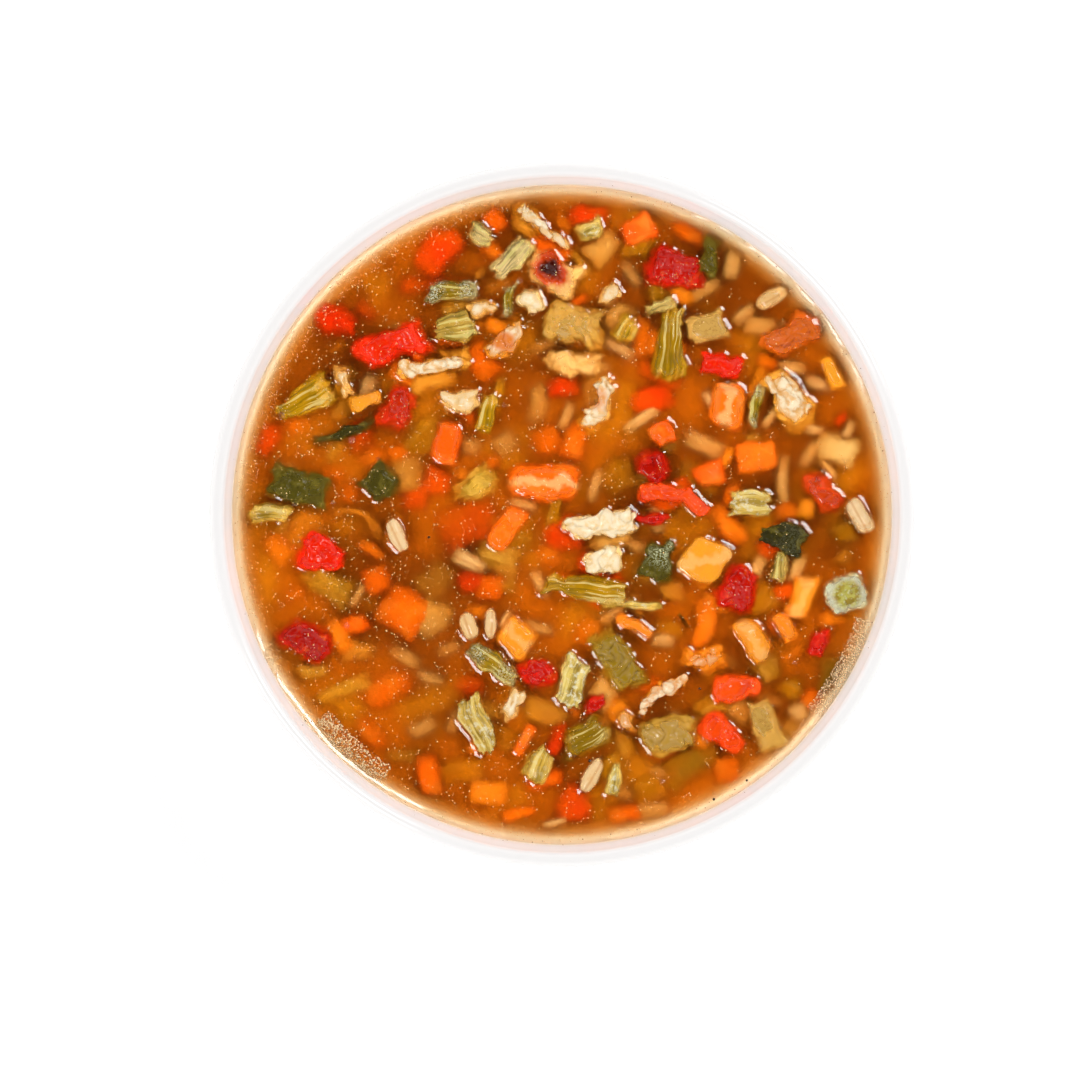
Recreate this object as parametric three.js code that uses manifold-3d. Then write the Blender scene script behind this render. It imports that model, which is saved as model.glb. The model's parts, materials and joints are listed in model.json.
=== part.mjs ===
/*
 * Bowl of vegetable barley soup: a round white glazed bowl, the broth up to its level, and
 * the pieces of vegetable that break the broth's surface.
 *
 * Millimetres, +Z up, +Y away from the diner.  The origin is under the middle of the foot.
 */
import * as THREE from 'three';
import { mergeVertices } from 'three/addons/utils/BufferGeometryUtils.js';
import Module from 'manifold-3d';

const wasm = await Module();
wasm.setup();

// Bowl
const RIM_RADIUS = 70;
const BOWL_HEIGHT = 66;
const LIP_WIDTH = 3;
const LIP_STEPS = 6;
const BASE_THICKNESS = 4.4;
const FLOOR_HEIGHT = 7.6;
const FLOOR_REACH = 44;
const SHOULDER_RADIUS = 60;
const SHOULDER_HEIGHT = 28;
const FOOT_RADIUS = 30;
const FOOT_WIDTH = 4;
const FOOT_TAPER = 0.8;
const OUTSIDE_STEPS = 9;
const WALL_STEPS = 6;
const FACETS_ROUND = 54;

// Broth
const HEADROOM = 8;
const LEVEL = BOWL_HEIGHT - HEADROOM;
const CLEARANCE = 0.3;
const EDGE_CLIMB = 0.5;
const EDGE_REACH = 1.5;

// Vegetables
const EASE = 1.1;
const EASE_SHARE = 0.85;
const SKEW = 0.45;
const STEPS_ALONG = 3;
const STEPS_ROUND = 3;
const WELL_RISE = 12;
const MERGE_DISTANCE = 1e-4;

const FINISHES = {
  glaze: { color: 0xf6f3ef, roughness: 0.12 },
  broth: { color: 0xb45a0c, roughness: 0.1 },
  carrot: { color: 0xf47a14, roughness: 0.35 },
  pepper: { color: 0xe0280f, roughness: 0.22 },
  tomato: { color: 0xc02a10, roughness: 0.35 },
  celery: { color: 0xc4a238, roughness: 0.4 },
  leek: { color: 0xa9a25c, roughness: 0.45 },
  onion: { color: 0xf0d7a2, roughness: 0.35 },
  potato: { color: 0xdcb267, roughness: 0.5 },
  greens: { color: 0x4c4d16, roughness: 0.45 },
  barley: { color: 0xe8d3ae, roughness: 0.3 },
  floret: { color: 0xb9b264, roughness: 0.6 },
};

/*
 * The large pieces, by vegetable.  at is the middle in plan, turn the angle of its length
 * from +X, size its length, width and height, proud how far its top stands over the broth.
 * ease rounds its edges, taper narrows its far end, curl bends it in plan and arch lifts
 * its middle; tip raises its far end.
 */
const PIECES = {
  carrot: [
    { at: [-22.6, 14.8], turn: 78, size: [9, 4.8, 6], proud: 1.5, tip: 4 },
    { at: [-3.6, 6.6], turn: -2, size: [13.6, 7.4, 5], proud: 1.4, ease: 2, arch: 0.8 },
    { at: [-11.2, -3.1], turn: 58, size: [9.4, 5, 6], proud: 1.4, tip: -4 },
    { at: [15.6, 57.2], turn: 25, size: [6, 6.4, 6], proud: 0.6 },
    { at: [33.4, 21.8], turn: 80, size: [8.8, 6, 6], proud: 2, ease: 1.6 },
    { at: [38.8, 11.5], turn: 2, size: [8.8, 6.8, 6], proud: 0.6 },
    { at: [29.6, 8.2], turn: 20, size: [5.8, 5.8, 6], proud: 1, tip: 5 },
    { at: [-8.8, -24.6], turn: -40, size: [7, 6.4, 6], proud: 1.2 },
    { at: [28.8, -9.4], turn: -35, size: [8.4, 8.4, 7], proud: 1.6, tip: 3 },
    { at: [48.4, -16.6], turn: 75, size: [9.8, 5.2, 6], proud: 0.9 },
    { at: [38.6, -25.2], turn: -60, size: [9.4, 4.6, 6], proud: 1.8, ease: 1.5 },
  ],
  pepper: [
    { at: [-34.4, 33.9], turn: 22, size: [15, 7, 3.6], proud: 1.6, ease: 1.6, arch: 1.2 },
    { at: [-48.6, -7.9], turn: -20, size: [9.2, 7.4, 4], proud: 1.5, ease: 1.8, taper: -0.3 },
    { at: [31.4, 30], turn: -10, size: [9.2, 5.6, 4], proud: 2, ease: 1.8 },
    { at: [35.2, -34.9], turn: 10, size: [10.2, 4.6, 3.6], proud: 1.4, arch: 0.5 },
    { at: [32, -43.6], turn: -42, size: [9, 4.8, 3.6], proud: 1.4, taper: -0.2 },
    { at: [22.6, 3], turn: -18, size: [15, 3.2, 3.4], proud: 2, curl: -70, steps: 5 },
  ],
  tomato: [
    { at: [-32.8, 21.2], turn: 60, size: [9, 7.6, 5], proud: 1.5, ease: 2.4 },
    { at: [23, 49.2], turn: -5, size: [12.4, 8, 5], proud: 1.3, ease: 2.4, taper: -0.2 },
    { at: [46, 36.2], turn: 30, size: [11.4, 6.8, 5], proud: 1.8, ease: 2.3 },
    { at: [52, 5], turn: -50, size: [9.6, 5.4, 4], proud: 1.4, ease: 1.9 },
    { at: [-51.4, -25.3], turn: -30, size: [11.4, 8, 5], proud: 1.2, ease: 2.4, taper: 0.2 },
    { at: [-5.2, -31.6], turn: 20, size: [7, 6, 5], proud: 1.3, ease: 2.2 },
    { at: [35.6, -15.3], turn: 65, size: [9.4, 7, 5], proud: 1.4, ease: 2.3 },
    { at: [-1.4, 48.6], turn: -25, size: [10, 7, 4.4], proud: 1.8, ease: 2, arch: 1 },
  ],
  celery: [
    { at: [-51.6, 22.9], turn: 32, size: [12.4, 5.2, 3.4], proud: 1.5, taper: 0.25 },
    { at: [-17.2, 6.4], turn: 42, size: [9, 6, 4], proud: 0.5, ease: 1.8 },
    { at: [22, 34.2], turn: 85, size: [14.2, 5.8, 4], proud: 1.7, taper: -0.15 },
    { at: [-17.2, -41.5], turn: -65, size: [11, 5.6, 3.4], proud: 2, taper: -0.2 },
    { at: [37.6, 2.4], turn: -2, size: [8, 5.2, 6], proud: 2 },
    { at: [2.2, -33.6], turn: 68, size: [9, 5.8, 6], proud: 2 },
    { at: [4.8, -44], turn: 30, size: [9.2, 7, 4], proud: 1.4, ease: 1.8 },
    { at: [4.2, -14.4], turn: -6, size: [17, 4, 4], proud: 2, ease: 1.5, steps: 4 },
  ],
  leek: [
    { at: [-22, 44.4], turn: -5, size: [10, 4.2, 3], proud: 1.6 },
    { at: [-21.8, 37.6], turn: 10, size: [8.4, 5.2, 3], proud: 1.8, arch: 0.6 },
    { at: [-14.3, -29.3], turn: -33, size: [11, 3.8, 3], proud: 1.9, arch: 0.5 },
    { at: [-10, 51.2], turn: 45, size: [8.8, 5, 2.4], proud: 1.6, arch: 0.6 },
  ],
  onion: [
    { at: [-25.2, 29.4], turn: 5, size: [14.6, 3, 3], proud: 2.1, curl: -50, steps: 5 },
    { at: [2.6, 38.4], turn: -10, size: [11.4, 7.6, 3.4], proud: 1.7, ease: 1.6, arch: 0.8 },
    { at: [2.2, 30.7], turn: -2, size: [10.8, 4.6, 3], proud: 1.8, ease: 1.4 },
    { at: [-11.4, 35], turn: 60, size: [8.6, 4, 3], proud: 1.9, curl: 60, steps: 5 },
    { at: [7.2, 22.6], turn: 70, size: [12.2, 3.2, 3], proud: 2.2, curl: 150, steps: 5 },
    { at: [45.6, 23.6], turn: -50, size: [11, 7.2, 3.4], proud: 1.9, ease: 1.6, arch: 0.8 },
    { at: [8, -2.2], turn: 5, size: [13.4, 5, 3.4], proud: 2.3, arch: 0.6, steps: 4 },
    { at: [8.4, -8.9], turn: 8, size: [7.6, 4.8, 3.4], proud: 2.2, ease: 1.5 },
    { at: [11, -28.8], turn: -60, size: [13.6, 7.4, 3.6], proud: 1.8, ease: 1.7, arch: 0.8 },
    { at: [19.6, -36.2], turn: 33, size: [13, 3.4, 3], proud: 2, curl: -45, steps: 5 },
    { at: [20.8, -43.8], turn: 5, size: [10.6, 6, 3.4], proud: 1.7, ease: 1.6, arch: 0.6 },
    { at: [28, -28.6], turn: 5, size: [10.6, 4.6, 3.4], proud: 1.5, ease: 1.6, curl: 40, steps: 5 },
    { at: [-3.4, 57.8], turn: -38, size: [13.6, 3, 2.6], proud: 1.9, curl: 40, steps: 5 },
  ],
  potato: [
    { at: [55.2, 12.9], turn: -10, size: [9.2, 5.8, 5], proud: 0.5 },
    { at: [40.9, -42.2], turn: -70, size: [10.6, 5.4, 4], proud: 1.2 },
  ],
  greens: [
    { at: [-52.8, 5.4], turn: -12, size: [11.6, 7.4, 2.2], proud: 1.4, arch: 0.7, ease: 0.9 },
    { at: [19, -9.1], turn: 80, size: [8.6, 6.6, 3], proud: 1.8, ease: 1.4, arch: 0.8 },
    { at: [44, -4.9], turn: -12, size: [8.8, 5, 2.6], proud: 1.9, ease: 1, arch: 0.5 },
  ],
  barley: [
    { at: [59.8, -0.2], turn: -62, size: [7.6, 3.4, 2.8], proud: 1.9, ease: 1.3 },
  ],
  floret: [
    { at: [57.2, -15.8], turn: 20, size: [8.8, 7.2, 5], proud: 2.2, ease: 2.2 },
  ],
};

/*
 * Small pieces and barley grains, joined to the broth they float in: middle in plan, turn,
 * length, width and how far each stands over the broth.
 */
const GRAIN_HEIGHT = 2.6;
const GRAIN_FACETS = [7, 4];
const GRAINS = [
  { at: [-43.6, 26.8], turn: -80, size: [5.8, 3.2], proud: 1.5 },
  { at: [-39.4, 22.8], turn: 15, size: [6.8, 3], proud: 1.5 },
  { at: [-36.6, 6.4], turn: 40, size: [7.6, 7], proud: 1.4 },
  { at: [29.6, 37.6], turn: 10, size: [7.6, 6.2], proud: 1.4 },
  { at: [18, 10.2], turn: -60, size: [6.6, 5.4], proud: 1.2 },
  { at: [-20.8, 22.8], turn: 8, size: [6.8, 3.6], proud: 1.7 },
  { at: [-15.2, 20.4], turn: 75, size: [7.8, 3.2], proud: 1.5 },
  { at: [-43.4, 16.8], turn: 18, size: [12, 2.2], proud: 1.3 },
  { at: [-58.4, 0.2], turn: 0, size: [8, 3.4], proud: 1.3 },
  { at: [-33, -4], turn: -62, size: [6.4, 3], proud: 1.8 },
  { at: [-16.2, 56.3], turn: -20, size: [5.8, 4.4], proud: 1.8 },
  { at: [-11, 43.4], turn: 85, size: [6.8, 2.8], proud: 1.4 },
  { at: [-5.6, 42.7], turn: 20, size: [4, 4], proud: 1.8 },
  { at: [-16.4, 41.2], turn: 0, size: [4.6, 2.6], proud: 1.7 },
  { at: [5.8, 57.4], turn: 10, size: [5, 3], proud: 1.4 },
  { at: [9.6, 44], turn: 30, size: [4.6, 3.4], proud: 1.7 },
  { at: [29.8, 51.4], turn: 80, size: [8, 3.2], proud: 1.3 },
  { at: [20.2, 42.1], turn: 15, size: [5.8, 2.2], proud: 1.4 },
  { at: [12.6, 37.6], turn: 60, size: [5.6, 5], proud: 1.2 },
  { at: [42, 43.4], turn: 30, size: [6.4, 3.2], proud: 1.4 },
  { at: [20.4, 16.4], turn: 30, size: [5.2, 4.8], proud: 1.7 },
  { at: [39.1, 21.8], turn: 85, size: [8, 2.6], proud: 1.5 },
  { at: [54.4, 28.2], turn: -62, size: [7, 2.8], proud: 1.3 },
  { at: [17.4, -1], turn: -8, size: [8.4, 2.8], proud: 1.3 },
  { at: [-18.6, -22.2], turn: -70, size: [5.2, 3], proud: 1.7 },
  { at: [-14.2, -21.8], turn: 85, size: [6, 2.4], proud: 1.7 },
  { at: [-10, -37.8], turn: 50, size: [6, 4.4], proud: 1.9 },
  { at: [-4.4, -49.6], turn: 65, size: [6, 4.8], proud: 1.6 },
  { at: [-7.6, -44.8], turn: 55, size: [6.4, 2.4], proud: 1.2 },
  { at: [14.4, -18.2], turn: -4, size: [12.4, 1.8], proud: 1.3 },
  { at: [14.8, -22.4], turn: -30, size: [8, 2.4], proud: 1.3 },
  { at: [43.6, -10.6], turn: 88, size: [5.6, 3.6], proud: 1.5 },
  { at: [44.8, -22.6], turn: -60, size: [5.6, 2.8], proud: 1.5 },
  { at: [51.8, -25.8], turn: 80, size: [5.6, 3.4], proud: 1.2 },
  { at: [6.6, -37.9], turn: 20, size: [4.4, 2.4], proud: 1.3 },
  { at: [6, -52.2], turn: 60, size: [6.8, 2.8], proud: 1.8 },
  { at: [10.4, -53], turn: 80, size: [7.4, 2.6], proud: 1.6 },
  { at: [12.4, -41.8], turn: 10, size: [3.8, 3.2], proud: 1.6 },
];

/** Even random numbers from 0 to 1, always the same for one seed. */
function randomFrom(seed) {
  let state = seed * 2654435761 + 1013904223;
  return () => {
    state = (state + 0x6d2b79f5) | 0;
    let mixed = Math.imul(state ^ (state >>> 15), 1 | state);
    mixed = (mixed + Math.imul(mixed ^ (mixed >>> 7), 61 | mixed)) ^ mixed;
    return ((mixed ^ (mixed >>> 14)) >>> 0) / 4294967296;
  };
}

function finish(name) {
  return new THREE.MeshStandardMaterial({ ...FINISHES[name], metalness: 0 });
}

/** A closed geometry as a solid: shared corners are merged and collapsed faces left out. */
function toSolid(geometry) {
  const bare = geometry.clone();
  bare.deleteAttribute('normal');
  bare.deleteAttribute('uv');
  const merged = mergeVertices(bare, MERGE_DISTANCE);
  const corners = merged.index.array;
  const faces = [];
  for (let i = 0; i < corners.length; i += 3) {
    const [a, b, c] = corners.subarray(i, i + 3);
    if (a !== b && b !== c && c !== a) faces.push(a, b, c);
  }
  return new wasm.Manifold(new wasm.Mesh({
    numProp: 3,
    vertProperties: new Float32Array(merged.attributes.position.array),
    triVerts: new Uint32Array(faces),
  }));
}

function toGeometry(solid) {
  const { numProp, vertProperties, triVerts } = solid.getMesh();
  const geometry = new THREE.BufferGeometry();
  geometry.setAttribute('position', new THREE.BufferAttribute(vertProperties, numProp));
  geometry.setIndex(new THREE.BufferAttribute(triVerts, 1));
  geometry.computeVertexNormals();
  return geometry;
}

/** Turns an outline of radii and heights round the Z axis. */
function turned(outline) {
  return new THREE.LatheGeometry(outline, FACETS_ROUND).rotateX(Math.PI / 2);
}

/** The bowl's inner wall, from the middle of the floor to the top of the wall. */
const insideWall = new THREE.CubicBezierCurve(
  new THREE.Vector2(0, FLOOR_HEIGHT),
  new THREE.Vector2(FLOOR_REACH, FLOOR_HEIGHT),
  new THREE.Vector2(SHOULDER_RADIUS, SHOULDER_HEIGHT),
  new THREE.Vector2(RIM_RADIUS - LIP_WIDTH, BOWL_HEIGHT - LIP_WIDTH / 2),
);

/** A point of the inner wall, or at a distance from it into the bowl's hollow. */
function wallPoint(station, distance = 0) {
  const tangent = insideWall.getTangent(station);
  const inward = new THREE.Vector2(-tangent.y, tangent.x);
  return insideWall.getPoint(station).addScaledVector(inward, distance);
}

/** The same on the outside: the clay is thickest under the floor. */
function outsidePoint(station) {
  return wallPoint(station, -THREE.MathUtils.lerp(BASE_THICKNESS, LIP_WIDTH, station));
}

/** Where along the wall, from 0 to 1, a measure that grows with it reaches a value. */
function stationWhere(measure, value) {
  let low = 0;
  let high = 1;
  while (high - low > 1e-6) {
    const middle = (low + high) / 2;
    if (measure(middle) < value) low = middle;
    else high = middle;
  }
  return low;
}

const waterline = stationWhere((station) => insideWall.getPoint(station).y, LEVEL);

/** Points from one station to another, both ends included. */
function along(from, to, steps, pointAt) {
  return Array.from({ length: steps + 1 }, (_, i) => pointAt(from + (to - from) * i / steps));
}

function bowl() {
  const overFoot = stationWhere((station) => outsidePoint(station).x, FOOT_RADIUS);
  const recess = FLOOR_HEIGHT - BASE_THICKNESS;
  const lipRadius = LIP_WIDTH / 2;
  const lip = Array.from({ length: LIP_STEPS }, (_, i) => {
    const angle = Math.PI * i / LIP_STEPS;
    return new THREE.Vector2(
      RIM_RADIUS - lipRadius + Math.cos(angle) * lipRadius,
      BOWL_HEIGHT - lipRadius + Math.sin(angle) * lipRadius,
    );
  });
  return turned([
    new THREE.Vector2(0, recess),
    new THREE.Vector2(FOOT_RADIUS - FOOT_WIDTH - FOOT_TAPER, recess),
    new THREE.Vector2(FOOT_RADIUS - FOOT_WIDTH, 0),
    new THREE.Vector2(FOOT_RADIUS, 0),
    ...along(overFoot, 1, OUTSIDE_STEPS, outsidePoint).slice(0, -1),
    ...lip,
    ...along(1, waterline, 2, wallPoint),
    ...along(waterline, 0, WALL_STEPS, wallPoint).slice(1),
  ]);
}

/** The broth as poured: up to its level, climbing a little where it meets the wall. */
function brothAsPoured() {
  const wall = along(0, waterline, WALL_STEPS, (station) => wallPoint(station, CLEARANCE));
  wall[0].x = 0;
  const edge = wall[WALL_STEPS];
  return turned([
    ...wall,
    new THREE.Vector2(edge.x, LEVEL + EDGE_CLIMB),
    new THREE.Vector2(edge.x - EDGE_CLIMB, LEVEL + EDGE_CLIMB / 4),
    new THREE.Vector2(edge.x - EDGE_REACH, LEVEL),
    new THREE.Vector2(0, LEVEL),
  ]);
}

/** Draws a box corner in to a rounded edge: what lies past the flat part of each side. */
function eased(place, half, radius) {
  const flat = place.map((value, axis) => (
    THREE.MathUtils.clamp(value, radius[axis] - half[axis], half[axis] - radius[axis])));
  const over = place.map((value, axis) => (value - flat[axis]) / radius[axis]);
  const reach = Math.hypot(...over);
  return flat.map((value, axis) => (
    reach > 0 ? value + over[axis] / reach * radius[axis] : value));
}

/*
 * A hand-cut piece about the origin: a box with its edges eased and its corners out of true,
 * then tapered, arched and curled.  With a margin it is a well that holds the piece: wider by
 * the margin all round, with sharp edges, and open far above.
 */
function cutPiece(piece, margin = 0) {
  const { size, seed, ease = EASE, steps = STEPS_ALONG } = piece;
  const { taper = 0, curl = 0, arch = 0 } = piece;
  const counts = margin ? [steps, 1, 1] : [steps, STEPS_ROUND, STEPS_ROUND];
  const half = size.map((side) => side / 2 + margin);
  const radius = half.map((side) => Math.min(ease, side * EASE_SHARE));
  const random = randomFrom(seed);
  const skews = Array.from({ length: 4 }, () => (
    [0, 1, 2].map(() => (2 * random() - 1) * SKEW)));
  const geometry = new THREE.BoxGeometry(2, 2, 2, ...counts);
  const positions = geometry.attributes.position;
  const corner = new THREE.Vector3();
  for (let index = 0; index < positions.count; index++) {
    const unit = corner.fromBufferAttribute(positions, index).toArray();
    // The loops of corners slide out to where the eased edges begin.
    const place = unit.map((value, axis) => {
      const step = Math.round((value + 1) / 2 * counts[axis]);
      if (step === 0 || step === counts[axis]) return value * half[axis];
      const flat = half[axis] - radius[axis];
      return THREE.MathUtils.lerp(-flat, flat, (step - 1) / (counts[axis] - 2));
    });
    let [x, y, z] = margin ? place : eased(place, half, radius);
    const [onward, sideways] = [x * 2 / size[0], y * 2 / size[1]];
    skews.forEach((skew, quarter) => {
      const far = quarter & 1 ? onward : -onward;
      const wide = quarter & 2 ? sideways : -sideways;
      const share = (1 + far) * (1 + wide) / 4;
      x += share * skew[0];
      y += share * skew[1];
      z += share * skew[2];
    });
    y *= 1 + taper * onward;
    z += arch * (0.5 - onward ** 2);
    if (curl) {
      const bend = size[0] / THREE.MathUtils.degToRad(curl);
      const sag = bend * (1 - Math.cos(size[0] / 2 / bend)) / 2;
      [x, y] = [(bend - y) * Math.sin(x / bend), bend - (bend - y) * Math.cos(x / bend) - sag];
    }
    if (margin && unit[2] > 0) z += WELL_RISE;
    positions.setXYZ(index, x, y, z);
  }
  return geometry;
}

/** A small piece: an oval, sunk to its level. */
function grain({ at: [x, y], turn, size: [length, width], proud }) {
  return new THREE.SphereGeometry(1, ...GRAIN_FACETS)
    .rotateX(Math.PI / 2)
    .scale(length / 2, width / 2, GRAIN_HEIGHT / 2)
    .rotateZ(THREE.MathUtils.degToRad(turn))
    .translate(x, y, LEVEL + proud - GRAIN_HEIGHT / 2);
}

function build() {
  const soup = new THREE.Group();
  const crockery = new THREE.Mesh(toGeometry(toSolid(bowl())), finish('glaze'));
  crockery.name = 'bowl';
  soup.add(crockery);

  let broth = toSolid(brothAsPoured());
  for (const small of GRAINS) broth = broth.add(toSolid(grain(small)));

  let seed = 1;
  for (const [vegetable, cuts] of Object.entries(PIECES)) {
    cuts.forEach((cut, index) => {
      const piece = { ...cut, seed };
      seed += 1;
      const mesh = new THREE.Mesh(cutPiece(piece), finish(vegetable));
      mesh.name = `${vegetable}_${index + 1}`;
      mesh.position.set(...cut.at, LEVEL + cut.proud - cut.size[2] / 2);
      mesh.rotation.set(0, -THREE.MathUtils.degToRad(cut.tip ?? 0), 0);
      mesh.rotateOnWorldAxis(new THREE.Vector3(0, 0, 1), THREE.MathUtils.degToRad(cut.turn));
      mesh.updateMatrix();
      const well = cutPiece(piece, CLEARANCE).applyMatrix4(mesh.matrix);
      broth = broth.subtract(toSolid(well));
      soup.add(mesh);
    });
  }

  const poured = new THREE.Mesh(toGeometry(broth), finish('broth'));
  poured.name = 'broth';
  soup.add(poured);
  return soup;
}

const group = build();

export default group;
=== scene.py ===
"""
Bowl of vegetable barley soup: the looks, built round the packed frame.

The bowl, the broth and its floating and sunk pieces are worked out in millimetres and put in
the frame in metres.  Places are measured from the bowl's middle, +Y away from the diner.
"""

import json
import math
import random
from dataclasses import dataclass
from functools import cached_property, partial

import bmesh
import bpy
from mathutils import Matrix, Vector, noise
from mathutils.bvhtree import BVHTree

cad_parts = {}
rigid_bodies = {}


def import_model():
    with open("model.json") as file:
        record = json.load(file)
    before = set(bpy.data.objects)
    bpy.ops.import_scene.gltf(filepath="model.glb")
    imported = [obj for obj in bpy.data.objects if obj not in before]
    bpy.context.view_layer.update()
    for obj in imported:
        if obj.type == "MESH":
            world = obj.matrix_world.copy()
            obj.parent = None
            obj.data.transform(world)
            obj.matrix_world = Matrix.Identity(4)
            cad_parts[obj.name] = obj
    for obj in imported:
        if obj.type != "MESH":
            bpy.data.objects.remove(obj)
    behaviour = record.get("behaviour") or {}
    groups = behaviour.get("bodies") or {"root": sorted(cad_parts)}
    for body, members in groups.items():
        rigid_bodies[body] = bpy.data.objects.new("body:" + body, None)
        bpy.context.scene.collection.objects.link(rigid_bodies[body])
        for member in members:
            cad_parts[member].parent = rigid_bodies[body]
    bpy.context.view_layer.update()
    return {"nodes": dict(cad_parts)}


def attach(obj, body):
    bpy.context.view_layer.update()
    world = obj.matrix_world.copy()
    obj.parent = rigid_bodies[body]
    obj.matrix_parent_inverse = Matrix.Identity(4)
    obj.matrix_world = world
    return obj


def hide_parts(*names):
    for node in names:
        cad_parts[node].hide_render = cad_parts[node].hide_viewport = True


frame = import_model()

bl_info = {
    "name": "Vegetable barley soup",
    "version": (1, 0, 0),
    "blender": (4, 5, 0),
    "location": "View3D > Sidebar > Soup",
    "description": "Makes a white bowl of broth with cut vegetables and barley in it",
    "category": "Mesh",
}

MM = 0.001

noise.seed_set(12)


def screen(red, green, blue):
    """A screen colour, 0 to 255, as the linear values that the renderer works in."""
    shares = [value / 255 for value in (red, green, blue)]
    return tuple(((s + 0.055) / 1.055) ** 2.4 if s > 0.04045 else s / 12.92 for s in shares)


# ---- Settings ----

def colour_setting(name, description, default):
    return bpy.props.FloatVectorProperty(
        name=name, description=description, default=default,
        size=3, min=0, max=1, subtype="COLOR",
    )


def millimetres(name, description, default):
    return bpy.props.FloatProperty(name=name, description=description, default=default, min=0)


class BowlSettings(bpy.types.PropertyGroup):
    rim_radius: millimetres("Rim radius", "Middle of the bowl to its outer edge, in mm", 70)
    height: millimetres("Height", "Table to the top of the rim, in mm", 66)
    lip_width: millimetres("Lip width", "Thickness of the rounded lip, in mm", 3)
    base_thickness: millimetres("Base thickness", "Clay under the floor, in mm", 4.4)
    floor_height: millimetres("Floor height", "Table to the inside of the floor, in mm", 7.6)
    foot_radius: millimetres("Foot radius", "Outer radius of the foot ring, in mm", 30)
    foot_width: millimetres("Foot width", "Width of the foot ring, in mm", 4)
    glaze: colour_setting("Glaze", "Colour of the glaze", screen(221, 219, 218))
    clay: colour_setting("Clay", "Colour of the bare foot ring", screen(226, 214, 196))
    stain: colour_setting("Stain", "Dried broth along the wall", screen(246, 230, 204))


class BrothSettings(bpy.types.PropertyGroup):
    headroom: millimetres("Headroom", "Rim down to the broth, in mm", 8)
    rise: millimetres("Rise", "How far the broth climbs what floats in it, in mm", 0.6)
    clear_depth: millimetres("Clear depth", "Depth at which most is hidden, in mm", 2.2)
    core_depth: millimetres("Core depth", "Depth of the cloudy part, in mm", 4.2)
    amber: colour_setting("Amber", "The broth's main colour", screen(176, 83, 3))
    shade: colour_setting("Shade", "Its darker clouds", screen(116, 50, 2))
    glow: colour_setting("Glow", "Its lighter clouds", screen(196, 112, 8))
    gold: colour_setting("Gold", "Drops of oil on it", screen(252, 214, 140))


class VegetableSettings(bpy.types.PropertyGroup):
    carrot: colour_setting("Carrot", "Cut carrot", screen(252, 112, 10))
    pepper: colour_setting("Pepper", "Red pepper skin", screen(240, 30, 2))
    tomato: colour_setting("Tomato", "Stewed tomato", screen(200, 20, 3))
    celery: colour_setting("Celery", "Cooked celery", screen(206, 148, 12))
    leek: colour_setting("Leek", "Cooked leek", screen(196, 148, 14))
    onion: colour_setting("Onion", "Cooked onion", screen(250, 230, 192))
    potato: colour_setting("Potato", "Cooked potato", screen(222, 172, 92))
    greens: colour_setting("Greens", "Dark leaves", screen(84, 74, 12))
    barley: colour_setting("Barley", "Swollen barley", screen(232, 184, 118))
    floret: colour_setting("Floret", "Pale green floret", screen(190, 180, 84))


class StageSettings(bpy.types.PropertyGroup):
    camera_height: millimetres("Camera height", "Camera over the rim, in mm", 790)
    view_width: millimetres("View width", "What the picture spans at the rim, in mm", 214)
    floor: colour_setting("Floor", "Colour of the floor", (0.98, 0.98, 0.98))


class SoupSettings(bpy.types.PropertyGroup):
    bowl: bpy.props.PointerProperty(type=BowlSettings)
    broth: bpy.props.PointerProperty(type=BrothSettings)
    vegetables: bpy.props.PointerProperty(type=VegetableSettings)
    stage: bpy.props.PointerProperty(type=StageSettings)


# ---- Shader expressions ----

class Wire:
    """A socket of a material.  Arithmetic on wires adds the nodes that work it out."""

    def __init__(self, paint, socket):
        self.paint = paint
        self.socket = socket

    def _is_vector(self):
        return self.socket.type in ("VECTOR", "RGBA")

    def _join(self, operation, other, swapped=False):
        pair = (other, self) if swapped else (self, other)
        vector = any(isinstance(w, Wire) and w._is_vector() for w in pair)
        if vector:
            pair = [w if isinstance(w, (Wire, tuple)) else (w, w, w) for w in pair]
        kind = "ShaderNodeVectorMath" if vector else "ShaderNodeMath"
        return self.paint.node(kind, {"operation": operation}, *pair)

    def _math(self, operation, *others):
        return self.paint.node("ShaderNodeMath", {"operation": operation}, self, *others)

    def __add__(self, other):
        return self._join("ADD", other)

    __radd__ = __add__

    def __sub__(self, other):
        return self._join("SUBTRACT", other)

    def __rsub__(self, other):
        return self._join("SUBTRACT", other, swapped=True)

    def __mul__(self, other):
        return self._join("MULTIPLY", other)

    __rmul__ = __mul__

    def __truediv__(self, other):
        return self._join("DIVIDE", other)

    def __neg__(self):
        return self * -1

    def __abs__(self):
        return self._math("ABSOLUTE")

    def exp(self):
        return self._math("EXPONENT")

    def at_least(self, low):
        return self._math("MAXIMUM", low)

    def clamped(self):
        return self.paint.node("ShaderNodeClamp", {}, self)

    def span(self, low, high):
        """0 at low and under it, 1 at high and over it, and a smooth step between."""
        return self.paint.node(
            "ShaderNodeMapRange", {"interpolation_type": "SMOOTHSTEP"},
            Value=self, From_Min=low, From_Max=high,
        )

    def length(self):
        return self.paint.node("ShaderNodeVectorMath", {"operation": "LENGTH"}, self)

    def part(self, name):
        """X, Y or Z of a vector."""
        return self.paint.node("ShaderNodeSeparateXYZ", {}, self, output=name)


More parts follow.
